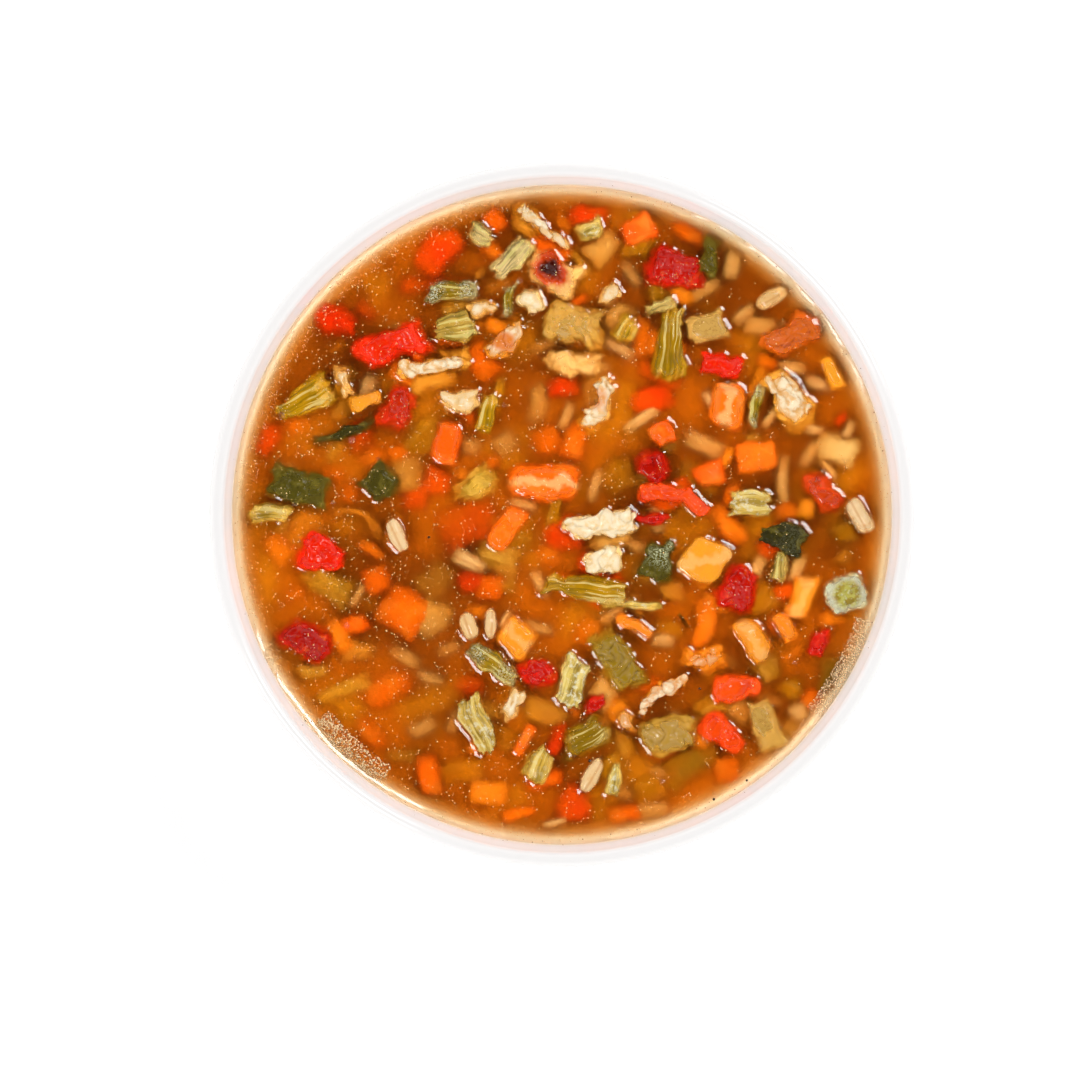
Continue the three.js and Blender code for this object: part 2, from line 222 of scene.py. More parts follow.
class Paint:
    """The nodes of a new material, or of the world."""

    def __init__(self, owner):
        self.owner = owner
        owner.use_nodes = True
        self.tree = owner.node_tree
        self.tree.nodes.clear()

    @cached_property
    def place(self):
        """Object coordinates, in millimetres."""
        return self.node("ShaderNodeTexCoord", {}, output="Object") * (1 / MM)

    def node(self, kind, settings, *values, output=None, **named):
        """Adds a node: settings first, then the values or wires of its sockets."""
        node = self.tree.nodes.new(kind)
        for key, value in settings.items():
            if key == "stops":
                self._stops(node.color_ramp, value)
            else:
                setattr(node, key, value)
        sockets = [s for s in node.inputs if s.enabled]
        for socket, value in zip(sockets, values):
            self._feed(socket, value)
        for key, value in named.items():
            self._feed(next(s for s in sockets if s.name.replace(" ", "_") == key), value)
        if output is None:
            return Wire(self, next(s for s in node.outputs if s.enabled))
        return Wire(self, node.outputs[output])

    def _feed(self, socket, value):
        if isinstance(value, Wire):
            self.tree.links.new(value.socket, socket)
        elif socket.type == "RGBA":
            socket.default_value = (*value[:3], 1)
        else:
            socket.default_value = value

    @staticmethod
    def _stops(ramp, stops):
        while len(ramp.elements) < len(stops):
            ramp.elements.new(1)
        for element, (place, colour) in zip(ramp.elements, stops):
            element.position = place
            element.color = (*colour[:3], 1)

    def attribute(self, name, output="Fac"):
        return self.node("ShaderNodeAttribute", {"attribute_name": name}, output=output)

    def noise(self, scale, detail=2.0, roughness=0.5, at=None):
        """Cloud noise, 0 to 1, with a feature every 1/scale millimetres."""
        return self.node(
            "ShaderNodeTexNoise", {}, Vector=at or self.place, Scale=scale, Detail=detail,
            Roughness=roughness, output="Fac",
        )

    def cells(self, scale):
        """Distance to the nearest of a field of scattered points."""
        return self.node(
            "ShaderNodeTexVoronoi", {}, Vector=self.place, Scale=scale, output="Distance")

    def mix(self, factor, first, second):
        """Between two colours."""
        return self.node(
            "ShaderNodeMix", {"data_type": "RGBA"}, Factor=factor, A=first, B=second, output=2)

    def ramp(self, factor, stops):
        return self.node("ShaderNodeValToRGB", {"stops": stops}, factor, output="Color")

    def shader(self, **values):
        return self.node("ShaderNodeBsdfPrincipled", {}, **values)

    def finish(self, shader, output="ShaderNodeOutputMaterial"):
        """Joins the shader to the output and hands back what it paints."""
        end = self.tree.nodes.new(output)
        self.tree.links.new(shader.socket, end.inputs["Surface"])
        return self.owner


def new_paint(name):
    return Paint(bpy.data.materials.new(name))


# ---- The bowl's inner wall, and pieces made ready ----

FLOOR_REACH = 44
SHOULDER_RADIUS = 60
SHOULDER_HEIGHT = 28
FOOT_TAPER = 0.8
BARE_HEIGHT = 0.35  # the foot stands unglazed up to here
DRY = -5.0  # stands for no depth at all, where the broth never reaches
ROUND_STEPS = 240
INTO_WALL = 0.45  # how far the broth's surface runs into the glaze, so no gap shows
FLAT = 1e-3


def settings():
    return bpy.context.scene.soup


def level():
    return settings().bowl.height - settings().broth.headroom


def wall_point(station, distance=0.0):
    """A point of the inner wall, from 0 at the floor's middle to 1 at the lip, in mm."""
    bowl = settings().bowl
    ends = (
        Vector((0, bowl.floor_height)),
        Vector((FLOOR_REACH, bowl.floor_height)),
        Vector((SHOULDER_RADIUS, SHOULDER_HEIGHT)),
        Vector((bowl.rim_radius - bowl.lip_width, bowl.height - bowl.lip_width / 2)),
    )
    back = 1 - station
    shares = (back ** 3, 3 * back ** 2 * station, 3 * back * station ** 2, station ** 3)
    slopes = (
        -3 * back ** 2, 3 * back ** 2 - 6 * back * station,
        6 * back * station - 3 * station ** 2, 3 * station ** 2,
    )
    point = sum((end * share for end, share in zip(ends, shares)), Vector((0, 0)))
    tangent = sum((end * slope for end, slope in zip(ends, slopes)), Vector((0, 0))).normalized()
    return point + Vector((-tangent.y, tangent.x)) * distance


def outside_point(station):
    bowl = settings().bowl
    return wall_point(station, -(bowl.base_thickness * (1 - station) + bowl.lip_width * station))


def station_where(measure, value):
    """Where along the wall a measure that grows with it reaches a value."""
    low, high = 0.0, 1.0
    while high - low > 1e-6:
        middle = (low + high) / 2
        if measure(middle) < value:
            low = middle
        else:
            high = middle
    return low


def disc_spot(draw, reach):
    """Anywhere within a distance of the bowl's middle, evenly spread."""
    radius, turn = reach * math.sqrt(draw.random()), draw.uniform(0, 2 * math.pi)
    return radius * math.cos(turn), radius * math.sin(turn)


def stations(first, last, steps):
    return [first + (last - first) * i / steps for i in range(steps + 1)]


def arc(middle, radius, start, end, steps):
    """Points of an arc in the plane of radius and height, angles in degrees."""
    angles = [math.radians(a) for a in stations(start, end, steps)]
    return [middle + Vector((math.cos(a), math.sin(a))) * radius for a in angles]


def turned(outline, steps=ROUND_STEPS):
    """A closed body: an outline of radii and heights, axis to axis, turned round the axis."""
    bm = bmesh.new()
    points = [bm.verts.new((p.x, 0, p.y)) for p in outline]
    edges = [bm.edges.new(pair) for pair in zip(points, points[1:])]
    bmesh.ops.spin(
        bm, geom=points + edges, axis=(0, 0, 1), cent=(0, 0, 0), dvec=(0, 0, 0),
        angle=2 * math.pi, steps=steps, use_merge=True, use_duplicate=False,
    )
    bmesh.ops.remove_doubles(bm, verts=bm.verts, dist=FLAT)
    bmesh.ops.recalc_face_normals(bm, faces=bm.faces)
    return bm


def served(name, bm, material, slot, replaced=(), attributes=None):
    """A finished piece in the frame: from millimetres to metres, on its body."""
    mesh = bpy.data.meshes.new(name)
    bm.to_mesh(mesh)
    bm.free()
    for key, values in (attributes or {}).items():
        vector = isinstance(values[0], (tuple, list, Vector))
        layer = mesh.attributes.new(key, "FLOAT_VECTOR" if vector else "FLOAT", "POINT")
        flat = [part for value in values for part in value] if vector else values
        layer.data.foreach_set("vector" if vector else "value", flat)
    mesh.transform(Matrix.Scale(MM, 4))
    mesh.shade_smooth()
    mesh.materials.append(material)
    piece = bpy.data.objects.new(name, mesh)
    bpy.context.scene.collection.objects.link(piece)
    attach(piece, "root")
    if replaced:
        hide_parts(*replaced)
    return piece


# ---- Materials ----

def murk(paint):
    """The broth's own cloudy colour, place by place."""
    broth = settings().broth
    clouds = paint.noise(0.05, detail=3, roughness=0.5)
    cloudy = paint.mix(clouds.span(0.36, 0.66), broth.amber, broth.shade)
    glow = paint.noise(0.07, detail=2, at=paint.place + (40, 0, 0)).span(0.5, 0.72)
    return paint.mix(glow * 0.8, cloudy, broth.glow)


# The share of a colour, as chosen from a picture, that it keeps under these lights.
LIT = (0.84, 0.84, 0.84)


def under_broth(paint, colour, clear):
    """What lies in the broth takes its stain, and fades into it with depth."""
    colour = colour * LIT
    depth = (level() - paint.place.part("Z")).at_least(0)
    # Painted shade: the share of the broth's darkening amber filter over a point, growing with
    # depth.
    stain = 1 - (-depth).exp()
    painted_light_and_tint = paint.mix(stain * 0.9, colour, colour * (1.0, 0.78, 0.3))
    hidden = 1 - (depth / (-settings().broth.clear_depth * clear)).exp()
    return paint.mix(hidden, painted_light_and_tint, murk(paint))


def emerged(paint):
    """0 in the broth, 1 well out of it."""
    return paint.place.part("Z").span(level() - 0.1, level() + 1.1)


STRAND_LENGTH = 9


def fibres(paint, local, pitch):
    """Strands that run the length of a piece, unevenly spaced."""
    return paint.noise(1 / pitch, at=local * (pitch / STRAND_LENGTH, 1, 0.3))


def glaze_material():
    """White glaze, stained by the broth; soaked is the depth under the lip's inner edge."""
    bowl = settings().bowl
    paint = new_paint("white_glaze")
    soaked = paint.attribute("soaked")
    broken = paint.noise(0.5, detail=4, roughness=0.7)
    line = soaked + (broken - 0.5) * 1.3
    # Painted light down the inner wall: from the lip down it is whiter than the glaze, to offset
    # its shade; then comes the real dried stain; under the waterline it is painted darker and more
    # amber, as the broth filters the light.
    painted_light_and_tint = paint.ramp((line / 10).clamped(), [
        (0.0, screen(254, 254, 254)), (0.3, screen(249, 248, 248)), (0.44, screen(243, 239, 234)),
        (0.56, bowl.stain), (0.66, screen(246, 216, 172)), (0.8, screen(230, 178, 106)),
    ])
    glazed = paint.mix(soaked.span(-1.1, -0.1), bowl.glaze, painted_light_and_tint)
    bare = paint.attribute("bare")
    colour = paint.mix(bare, glazed, bowl.clay)
    return paint.finish(paint.shader(
        Base_Color=colour, Roughness=0.14 + bare * 0.5, IOR=1.5,
    ))


def clear_material(name, bending, roughness):
    """Clear above the cloudy part: lets light in, and blurs what lies deep."""
    paint = new_paint(name)
    clear = paint.shader(
        Base_Color=(1.0, 0.97, 0.88), Roughness=roughness, IOR=bending,
        Transmission_Weight=1.0, Specular_IOR_Level=0.0, Specular_Tint=(0.0, 0.0, 0.0),
        Coat_Weight=1.0, Coat_Roughness=0.02, Coat_IOR=1.4,
    )
    shadow = paint.node("ShaderNodeLightPath", {}, output="Is Shadow Ray")
    through = paint.node("ShaderNodeBsdfTransparent", {}, (1.0, 0.96, 0.9))
    return paint.finish(paint.node("ShaderNodeMixShader", {}, shadow, clear, through))


def core_material():
    """The cloudy part, paler where the wall shows through the last of the broth."""
    paint = new_paint("cloudy_broth")
    shore = paint.attribute("shore") + (paint.noise(0.4, detail=3) - 0.5) * 0.5
    beach = paint.ramp((shore / 4).clamped(), [
        (0.0, screen(253, 241, 220)), (0.16, screen(242, 212, 166)), (0.38, screen(208, 146, 74)),
        (0.64, screen(190, 106, 22)), (1.0, screen(174, 84, 6)),
    ])
    colour = paint.mix(shore.span(4.4, 2.2), murk(paint), beach)
    return paint.finish(paint.shader(
        Base_Color=colour, Roughness=0.9, Specular_IOR_Level=0.0,
    ))


def toned(paint, kind, tint, low, high):
    """The tone of one kind of piece by its tint: low at 0, the kind's own at a half, high at 1."""
    main = getattr(settings().vegetables, kind)
    return paint.ramp(tint, [(0.0, screen(*low)), (0.5, main), (1.0, screen(*high))])


def carrot_colour(paint, tint, local, mark):
    tone = toned(paint, "carrot", tint, (240, 66, 6), (250, 166, 40))
    cloud = paint.noise(0.28, detail=2)
    tone = paint.mix(cloud.span(0.45, 0.7) * 0.45, tone, screen(252, 150, 50))
    wander = (paint.noise(0.3, at=local) - 0.5) * 5
    seam = abs(local.part("Y") + wander).span(1.3, 0.3)
    tone = paint.mix(seam * mark * 0.6, tone, screen(254, 206, 130))
    return tone, paint.noise(1.6, detail=3)


def pepper_colour(paint, tint, local, mark):
    tone = toned(paint, "pepper", tint, (150, 12, 6), (250, 84, 14))
    blotch = paint.noise(0.3, detail=3).span(0.45, 0.72)
    tone = paint.mix(blotch * 0.5, tone, screen(206, 16, 4))
    wrinkles = abs(paint.noise(1.1, detail=3, roughness=0.6) - 0.5)
    return paint.mix(wrinkles.span(0.03, 0.0) * 0.25, tone, screen(255, 110, 50)), wrinkles


def tomato_colour(paint, tint, local, mark):
    tone = toned(paint, "tomato", tint, (116, 10, 4), (222, 106, 20))
    blotch = paint.noise(0.45, detail=4, roughness=0.6)
    tone = paint.mix(blotch.span(0.52, 0.75) * 0.7, tone, screen(226, 84, 14))
    tone = paint.mix(blotch.span(0.46, 0.28) * 0.6, tone, screen(120, 8, 6))
    out = ((local + (0.7, -0.5, 0)) * (1, 1, 0)).length() + (paint.noise(0.35) - 0.5) * 4
    burnt = paint.mix(out.span(5.2, 2.6), screen(252, 196, 110), screen(226, 70, 8))
    tone = paint.mix(mark, tone, burnt)
    tone = paint.mix(mark * out.span(3.4, 0.8) * 0.96, tone, screen(44, 4, 2))
    return tone, paint.noise(1.8, detail=3, roughness=0.6) * 0.7


def celery_colour(paint, tint, local, mark):
    tone = toned(paint, "celery", tint, (104, 84, 8), (226, 198, 104))
    tone = paint.mix(paint.noise(0.35, detail=3).span(0.42, 0.68) * 0.7, tone, screen(150, 112, 12))
    strands = fibres(paint, local, 0.62)
    ribbed = 1 - mark
    tone = paint.mix(strands.span(0.5, 0.4) * 0.5 * ribbed, tone, screen(108, 84, 8))
    pale = strands.span(0.55, 0.63) * (emerged(paint) * 0.7 + 0.2) * ribbed
    tone = paint.mix(pale * 0.75, tone, screen(246, 222, 140))
    crust = paint.noise(0.9, detail=4, roughness=0.6).span(0.5, 0.62)
    dried = crust * emerged(paint) * tint.span(0.6, 0.9)
    return paint.mix(dried * 0.7, tone, screen(242, 236, 204)), strands


def leek_colour(paint, tint, local, mark):
    tone = toned(paint, "leek", tint, (44, 54, 20), (240, 208, 140))
    tone = paint.mix(paint.noise(0.35, detail=3).span(0.42, 0.68) * 0.6, tone, screen(112, 98, 14))
    strands = fibres(paint, local, 0.55)
    tone = paint.mix(strands.span(0.47, 0.37) * 0.55, tone, screen(72, 66, 10))
    tone = paint.mix(strands.span(0.56, 0.63) * 0.65, tone, screen(240, 222, 132))
    frost = paint.noise(2.9, detail=2, roughness=0.8)
    fringe = abs(local.part("X")).span(0.6, 3.4) * tint.span(0.6, 0.3)
    tone = paint.mix(frost.span(0.48, 0.4) * fringe * 0.8, tone, screen(26, 32, 10))
    return paint.mix(frost.span(0.51, 0.57) * fringe * 0.8, tone, screen(222, 224, 196)), frost


def onion_colour(paint, tint, local, mark):
    deep = paint.ramp(tint, [
        (0.0, screen(150, 118, 20)), (0.2, screen(200, 150, 62)), (0.36, screen(230, 130, 20)),
        (0.6, screen(232, 160, 54)), (1.0, screen(246, 206, 136)),
    ])
    frost = paint.noise(0.8, detail=4, roughness=0.55)
    out = paint.place.part("Z").span(level() + 0.3, level() + 1.5) * tint.span(0.05, 0.6)
    cream = settings().vegetables.onion
    tone = paint.mix(out * (frost.span(0.36, 0.58) * 0.65 + 0.35), deep, cream)
    glow = (local * (1, 1, 0)).length().span(3.0, 1.2)
    return paint.mix(glow * mark * 0.9, tone, screen(226, 116, 14)), frost * (out * 0.7 + 0.3)


def potato_colour(paint, tint, local, mark):
    tone = toned(paint, "potato", tint, (176, 134, 50), (240, 196, 120))
    wrinkles = abs(paint.noise(0.7, detail=3, roughness=0.6) - 0.5)
    tone = paint.mix(wrinkles.span(0.03, 0.0) * 0.5, tone, screen(150, 92, 34))
    return tone, wrinkles


def greens_colour(paint, tint, local, mark):
    tone = toned(paint, "greens", tint, (38, 34, 8), (128, 104, 20))
    cloud = paint.noise(0.45, detail=3, roughness=0.6)
    tone = paint.mix(cloud.span(0.5, 0.68) * 0.6, tone, screen(122, 108, 36))
    fleck = paint.noise(2.2, detail=4, roughness=0.75)
    frost = fleck.span(0.48, 0.56) * emerged(paint) * mark * local.part("X").span(-2.0, 1.0)
    return paint.mix(frost * 0.8, tone, screen(206, 210, 164)), fleck


def barley_colour(paint, tint, local, mark):
    tone = toned(paint, "barley", tint, (208, 142, 66), (244, 214, 168))
    crease = abs(local.part("Y") + 0.3).span(0.35, 0.08)
    tone = paint.mix(crease * 0.4, tone, screen(190, 116, 50))
    veil = paint.noise(0.7, detail=2)
    return paint.mix(veil.span(0.5, 0.75) * 0.4, tone, screen(222, 148, 66)), veil


def floret_colour(paint, tint, local, mark):
    buds = paint.cells(1.3).span(0.5, 0.1)
    tone = toned(paint, "floret", tint, (120, 122, 44), (216, 208, 150))
    tone = paint.mix(paint.noise(0.5).span(0.46, 0.6) * 0.8, tone, screen(150, 118, 14))
    tone = paint.mix(buds * 0.6, tone, screen(232, 230, 178))
    rim = (local * (1, 1, 0)).length().span(2.2, 3.6)
    return paint.mix(rim * 0.7, tone, screen(230, 230, 204)), buds


# What each kind of piece is painted with: its colour and small relief, how rough and how wet
# it is, and how well it shows through the broth.
FOODS = {
    "carrot": (carrot_colour, 0.3, 0.3, 1.25),
    "pepper": (pepper_colour, 0.16, 0.45, 1.25),
    "tomato": (tomato_colour, 0.18, 0.5, 1.1),
    "celery": (celery_colour, 0.3, 0.25, 1.0),
    "leek": (leek_colour, 0.3, 0.2, 1.0),
    "onion": (onion_colour, 0.25, 0.7, 1.1),
    "potato": (potato_colour, 0.35, 0.3, 1.0),
    "greens": (greens_colour, 0.3, 0.16, 1.0),
    "barley": (barley_colour, 0.25, 0.45, 1.1),
    "floret": (floret_colour, 0.3, 0.5, 1.0),
}


RELIEF_DEPTH = 0.22


def food_material(kind, sunk=False):
    """The finish of one kind of vegetable, wet or sunk, made once and shared by its pieces."""
    name = f"{'sunk' if sunk else 'cooked'}_{kind}"
    if name in bpy.data.materials:
        return bpy.data.materials[name]
    colour_of, roughness, wet, clear = FOODS[kind]
    paint = new_paint(name)
    colour, relief = colour_of(
        paint, paint.attribute("tint"), paint.attribute("local", "Vector"), paint.attribute("mark"))
    shown = under_broth(paint, colour, clear)
    if sunk:
        return paint.finish(
            paint.shader(Base_Color=shown, Roughness=0.9, Specular_IOR_Level=0.0))
    dry = paint.place.part("Z").span(level() - 0.2, level() + 0.4)
    return paint.finish(paint.shader(
        Base_Color=shown, Roughness=roughness, IOR=1.4, Specular_IOR_Level=0.07,
        Coat_Weight=dry * wet, Coat_Roughness=0.05, Coat_IOR=1.4,
        Normal=paint.node(
            "ShaderNodeBump", {}, Strength=0.9, Distance=RELIEF_DEPTH * MM, Height=relief),
    ))


def drop_material(name, colour, roughness):
    paint = new_paint(name)
    return paint.finish(paint.shader(
        Base_Color=colour, Roughness=roughness, Coat_Weight=0.6, Coat_Roughness=0.1,
    ))


# ---- Shapes of the pieces ----

@dataclass
class Relief:
    """The natural roughness of a cut piece: pairs are a size and a depth, in millimetres."""

    lumps: list
    strands: tuple = None
    creases: tuple = None
    fray: float = 0.0
    groove: float = 0.0
    warp: float = 0.6

    def height(self, spot, local):
        """How far a point of the surface stands out."""
        height = sum(noise.noise(spot / size) * depth for size, depth in self.lumps)
        if self.strands:
            pitch, depth = self.strands
            strand = (local.x / STRAND_LENGTH, local.y / pitch, spot.z / STRAND_LENGTH)
            height += noise.noise(Vector(strand)) * depth
        if self.creases:
            size, depth = self.creases
            height -= (1 - abs(noise.noise(spot / size))) ** 7 * depth
        if self.groove:
            height -= math.exp(-((local.y + 0.3) / 0.35) ** 2) * self.groove
        return height


RELIEFS = {
    "carrot": Relief([(3.2, 0.26), (0.9, 0.09)], warp=0.65),
    "pepper": Relief([(3.0, 0.55), (1.1, 0.16)], creases=(2.2, 0.35), warp=1.0),
    "tomato": Relief([(2.6, 0.8), (0.9, 0.34), (0.45, 0.1)], creases=(1.6, 0.35), fray=0.5,
                     warp=1.1),
    "celery": Relief([(3.0, 0.3), (0.7, 0.1)], strands=(0.5, 0.5), fray=1.1, warp=1.0),
    "leek": Relief([(2.4, 0.4), (0.6, 0.16)], strands=(0.5, 0.35), fray=0.9, warp=1.1),
    "onion": Relief([(2.8, 0.7), (0.9, 0.22)], creases=(2.4, 0.7), fray=0.7, warp=1.2),
    "potato": Relief([(3.0, 0.35), (0.8, 0.12)], fray=0.6, warp=1.0),
    "greens": Relief([(2.6, 0.5), (0.9, 0.2)], creases=(1.8, 0.4), fray=0.7, warp=1.2),
    "barley": Relief([(2.5, 0.2), (0.7, 0.05)], groove=0.14, warp=0.3),
    "floret": Relief([(1.4, 0.6), (0.5, 0.24)], creases=(1.0, 0.3), warp=0.7),
}


# How the outline of a piece is bent: the size of each bend and its depth, in mm.
BENDS = ((5, 1.5), (1.9, 0.5))
FLANK = 0.35


def past_flank(share):
    """0 from the middle of a piece to its flank, rising to 1 at its edge."""
    return max(0.0, (share - FLANK) / (1 - FLANK))


def sculpted(place, normal, local, half, relief, seed, dome):
    """Where a point goes once the piece is domed, its outline bent and its surface rough."""
    spot = place + Vector((seed * 17.3, seed * 5.1, seed * 9.7))
    moved = place + normal * relief.height(spot, local)
    across, along = abs(local.x / half.x), abs(local.y / half.y)
    outward = (across ** 3 + along ** 3) ** (1 / 3)
    high = 0.5 + 0.5 * local.z / half.z
    moved.z -= dome * past_flank(outward) ** 2 * high * (1 + 0.9 * noise.noise(spot / 2.4))
    flat = Vector((spot.x, spot.y, 0))
    for size, depth in BENDS:
        sway = noise.noise_vector(flat / size) * relief.warp * depth
        moved += Vector((sway.x, sway.y, 0)) * min(1.0, outward)
    if relief.fray:
        ragged = noise.noise(flat / 1.1) * relief.fray * past_flank(across)
        moved += Vector((normal.x, normal.y, 0)) * ragged
    return moved


VOXEL = 0.27
TOO_CLOSE = 0.01


def merged_copy(node):
    """A CAD node's mesh in millimetres, its corners joined."""
    bm = bmesh.new()
    bm.from_mesh(frame["nodes"][node].data)
    bmesh.ops.scale(bm, vec=(1 / MM,) * 3, verts=bm.verts)
    bmesh.ops.remove_doubles(bm, verts=bm.verts, dist=TOO_CLOSE)
    return bm


def remeshed(bm):
    """The same body as an even fine mesh."""
    mesh = bpy.data.meshes.new("rough")
    bm.to_mesh(mesh)
    bm.free()
    rough = bpy.data.objects.new("rough", mesh)
    bpy.context.scene.collection.objects.link(rough)
    even = rough.modifiers.new("even", "REMESH")
    even.mode = "VOXEL"
    even.voxel_size = VOXEL
    shown = rough.evaluated_get(bpy.context.evaluated_depsgraph_get())
    fine = bmesh.new()
    fine.from_mesh(shown.to_mesh())
    shown.to_mesh_clear()
    bpy.data.objects.remove(rough)
    bpy.data.meshes.remove(mesh)
    return fine


def lie_of(bm):
    """The middle of a body and the direction of its length in plan."""
    points = [v.co for v in bm.verts]
    low = Vector(min(p[i] for p in points) for i in range(3))
    high = Vector(max(p[i] for p in points) for i in range(3))
    middle = (low + high) / 2
    spread = [(p.x - middle.x, p.y - middle.y) for p in points]
    angle = 0.5 * math.atan2(
        2 * sum(x * y for x, y in spread), sum(x * x - y * y for x, y in spread))
    return middle, angle


def float_piece(node, kind, seed, look):
    """Dresses a CAD node of a vegetable: a fine rough copy in its place."""
    tint, settle, dome, mark = look
    bm = merged_copy(node)
    middle, angle = lie_of(bm)
    back = Matrix.Rotation(-angle, 3, "Z")
    fine = remeshed(bm)
    bmesh.ops.smooth_vert(fine, verts=fine.verts, factor=0.5, use_axis_x=True,
                          use_axis_y=True, use_axis_z=True)
    fine.normal_update()
    locals_ = [back @ (v.co - middle) for v in fine.verts]
    half = Vector(max(abs(p[i]) for p in locals_) for i in range(3))
    moved = [
        sculpted(v.co, v.normal, local, half, RELIEFS[kind], seed, dome)
        for v, local in zip(fine.verts, locals_)
    ]
    for vertex, place in zip(fine.verts, moved):
        vertex.co = place - Vector((0, 0, settle))
    count = len(moved)
    return served(
        f"{node}_cooked", fine, food_material(kind), kind, [node],
        {"local": locals_, "tint": [tint] * count, "mark": [float(mark)] * count},
    )


SKEW = 0.06
BALL_SHARE = 1.08  # the ball that a box is rounded towards, in half its width


class Batch:
    """Many small pieces of one kind, gathered into one mesh."""

    def __init__(self, kind, seed):
        self.kind = kind
        self.random = random.Random(seed)
        self.bm = bmesh.new()
        self.local, self.tint = [], []

    def chunk(self, at, turn, size, top, tint, cuts, roundness, dome, curl=0):
        """A cut piece: a box, partly rounded, bent and roughened; top is its highest level."""
        bm = bmesh.new()
        bmesh.ops.create_cube(bm, size=2)
        bmesh.ops.subdivide_edges(bm, edges=bm.edges, cuts=cuts, use_grid_fill=True)
        half = Vector(size) / 2
        skew = [self.random.uniform(-SKEW, SKEW) for _ in range(4)]
        for vertex in bm.verts:
            unit = vertex.co.lerp(vertex.co.normalized() * BALL_SHARE, roundness)
            unit.x += skew[0] * unit.y + skew[1] * unit.z
            unit.y += skew[2] * unit.x + skew[3] * unit.z
            vertex.co = (unit.x * half.x, unit.y * half.y, unit.z * half.z)
        flat = [v.co.copy() for v in bm.verts]
        if curl:
            bend = size[0] / math.radians(curl)
            sag = bend * (1 - math.cos(half.x / bend)) / 2
            for vertex in bm.verts:
                x, y, z = vertex.co
                vertex.co = ((bend - y) * math.sin(x / bend),
                             bend - (bend - y) * math.cos(x / bend) - sag, z)
        bm.normal_update()
        seed = self.random.uniform(0, 50)
        moved = [
            sculpted(v.co, v.normal, local, half, RELIEFS[self.kind], seed, dome)
            for v, local in zip(bm.verts, flat)
        ]
        rise = top - max(place.z for place in moved)
        lie = Matrix.Rotation(math.radians(turn), 4, "Z")
        for vertex, place in zip(bm.verts, moved):
            vertex.co = Vector((at[0], at[1], rise)) + lie @ place
        mesh = bpy.data.meshes.new("chunk")
        bm.to_mesh(mesh)
        bm.free()
        self.bm.from_mesh(mesh)
        bpy.data.meshes.remove(mesh)
        self.local += flat
        self.tint += [tint] * len(flat)

    def serve(self, name, replaced=(), sunk=False):
        return served(
            name, self.bm, food_material(self.kind, sunk), self.kind, replaced,
            {"local": self.local, "tint": self.tint},
        )


# ---- Where the pieces lie ----

# The look of each floating piece, in the order of its nodes: its tint, how far it settles and
# how far its edges are let down, in mm, and how much it shows its kind's own marking.
LOOKS = {
    "carrot": (
        (0.3, 0.7, 0.9, 0), (0.45, 0.2, 1.5, 1), (0.5, 0.7, 0.8, 0), (0.25, 0.8, 0.5, 0),
        (0.55, 0.6, 1.3, 1), (0.55, 0.9, 0.4, 0), (0.3, 0.9, 0.6, 0), (0.85, 0.4, 1.1, 0.6),
        (0.95, 0.4, 0.5, 0.7), (0.8, 0.6, 1.0, 0.5), (0.85, 0.3, 1.2, 0.6),
    ),
    "pepper": (
        (0.55, 0.5, 1.5, 0), (0.5, 0.2, 1.3, 0), (0.5, 0.1, 1.2, 0), (0.95, 0.5, 1.0, 0),
        (0.85, 0.6, 0.9, 0), (0.9, 0.1, 0.9, 0),
    ),
    "tomato": (
        (0.55, 0.4, 1.6, 0), (0.45, 0.3, 1.5, 0), (0.95, 0.1, 1.2, 0), (0.65, 0.4, 1.4, 0),
        (0.35, 0.4, 1.6, 0), (0.5, 0.3, 1.5, 0), (0.45, 0.2, 1.4, 0), (0.6, 0.4, 1.0, 1),
    ),
    "celery": (
        (0.45, 0.6, 1.1, 0), (0.66, 0.3, 1.0, 1), (0.3, 0.7, 1.2, 0), (0.8, 0.2, 0.8, 0),
        (0.8, 0.2, 0.7, 0), (0.95, 0.1, 0.6, 0), (0.15, 0.6, 1.1, 0), (0.4, 0.4, 0.9, 0),
    ),
    "leek": ((0.3, 0.3, 1.1, 0), (0.6, 0.3, 0.9, 0), (0.4, 0.2, 1.0, 0), (0.95, 0.2, 1.1, 0)),
    "onion": (
        (0.6, 0.2, 1.4, 0), (0.2, 1.0, 0.8, 0), (0.8, 1.2, 0.8, 0), (0.5, 0.3, 1.3, 1),
        (0.7, 0.2, 1.2, 0.6), (0.6, 0.3, 1.4, 0), (0.95, 0.1, 0.9, 0), (1.0, 0.0, 0.9, 0),
        (0.02, 0.4, 1.4, 0), (0.45, 0.3, 0.9, 0), (0.12, 0.5, 1.2, 0), (0.36, 0.5, 1.2, 0),
        (0.75, 0.2, 1.0, 0),
    ),
    "potato": ((0.9, 0.8, 0.9, 0), (0.2, 0.7, 0.9, 0)),
    "greens": ((0.5, 0.4, 1.0, 0), (0.5, 0.2, 1.2, 1), (0.1, 0.2, 0.7, 0.1)),
    "barley": ((0.8, 0.2, 0.8, 0),),
    "floret": ((0.5, 0.1, 1.2, 0),),
}

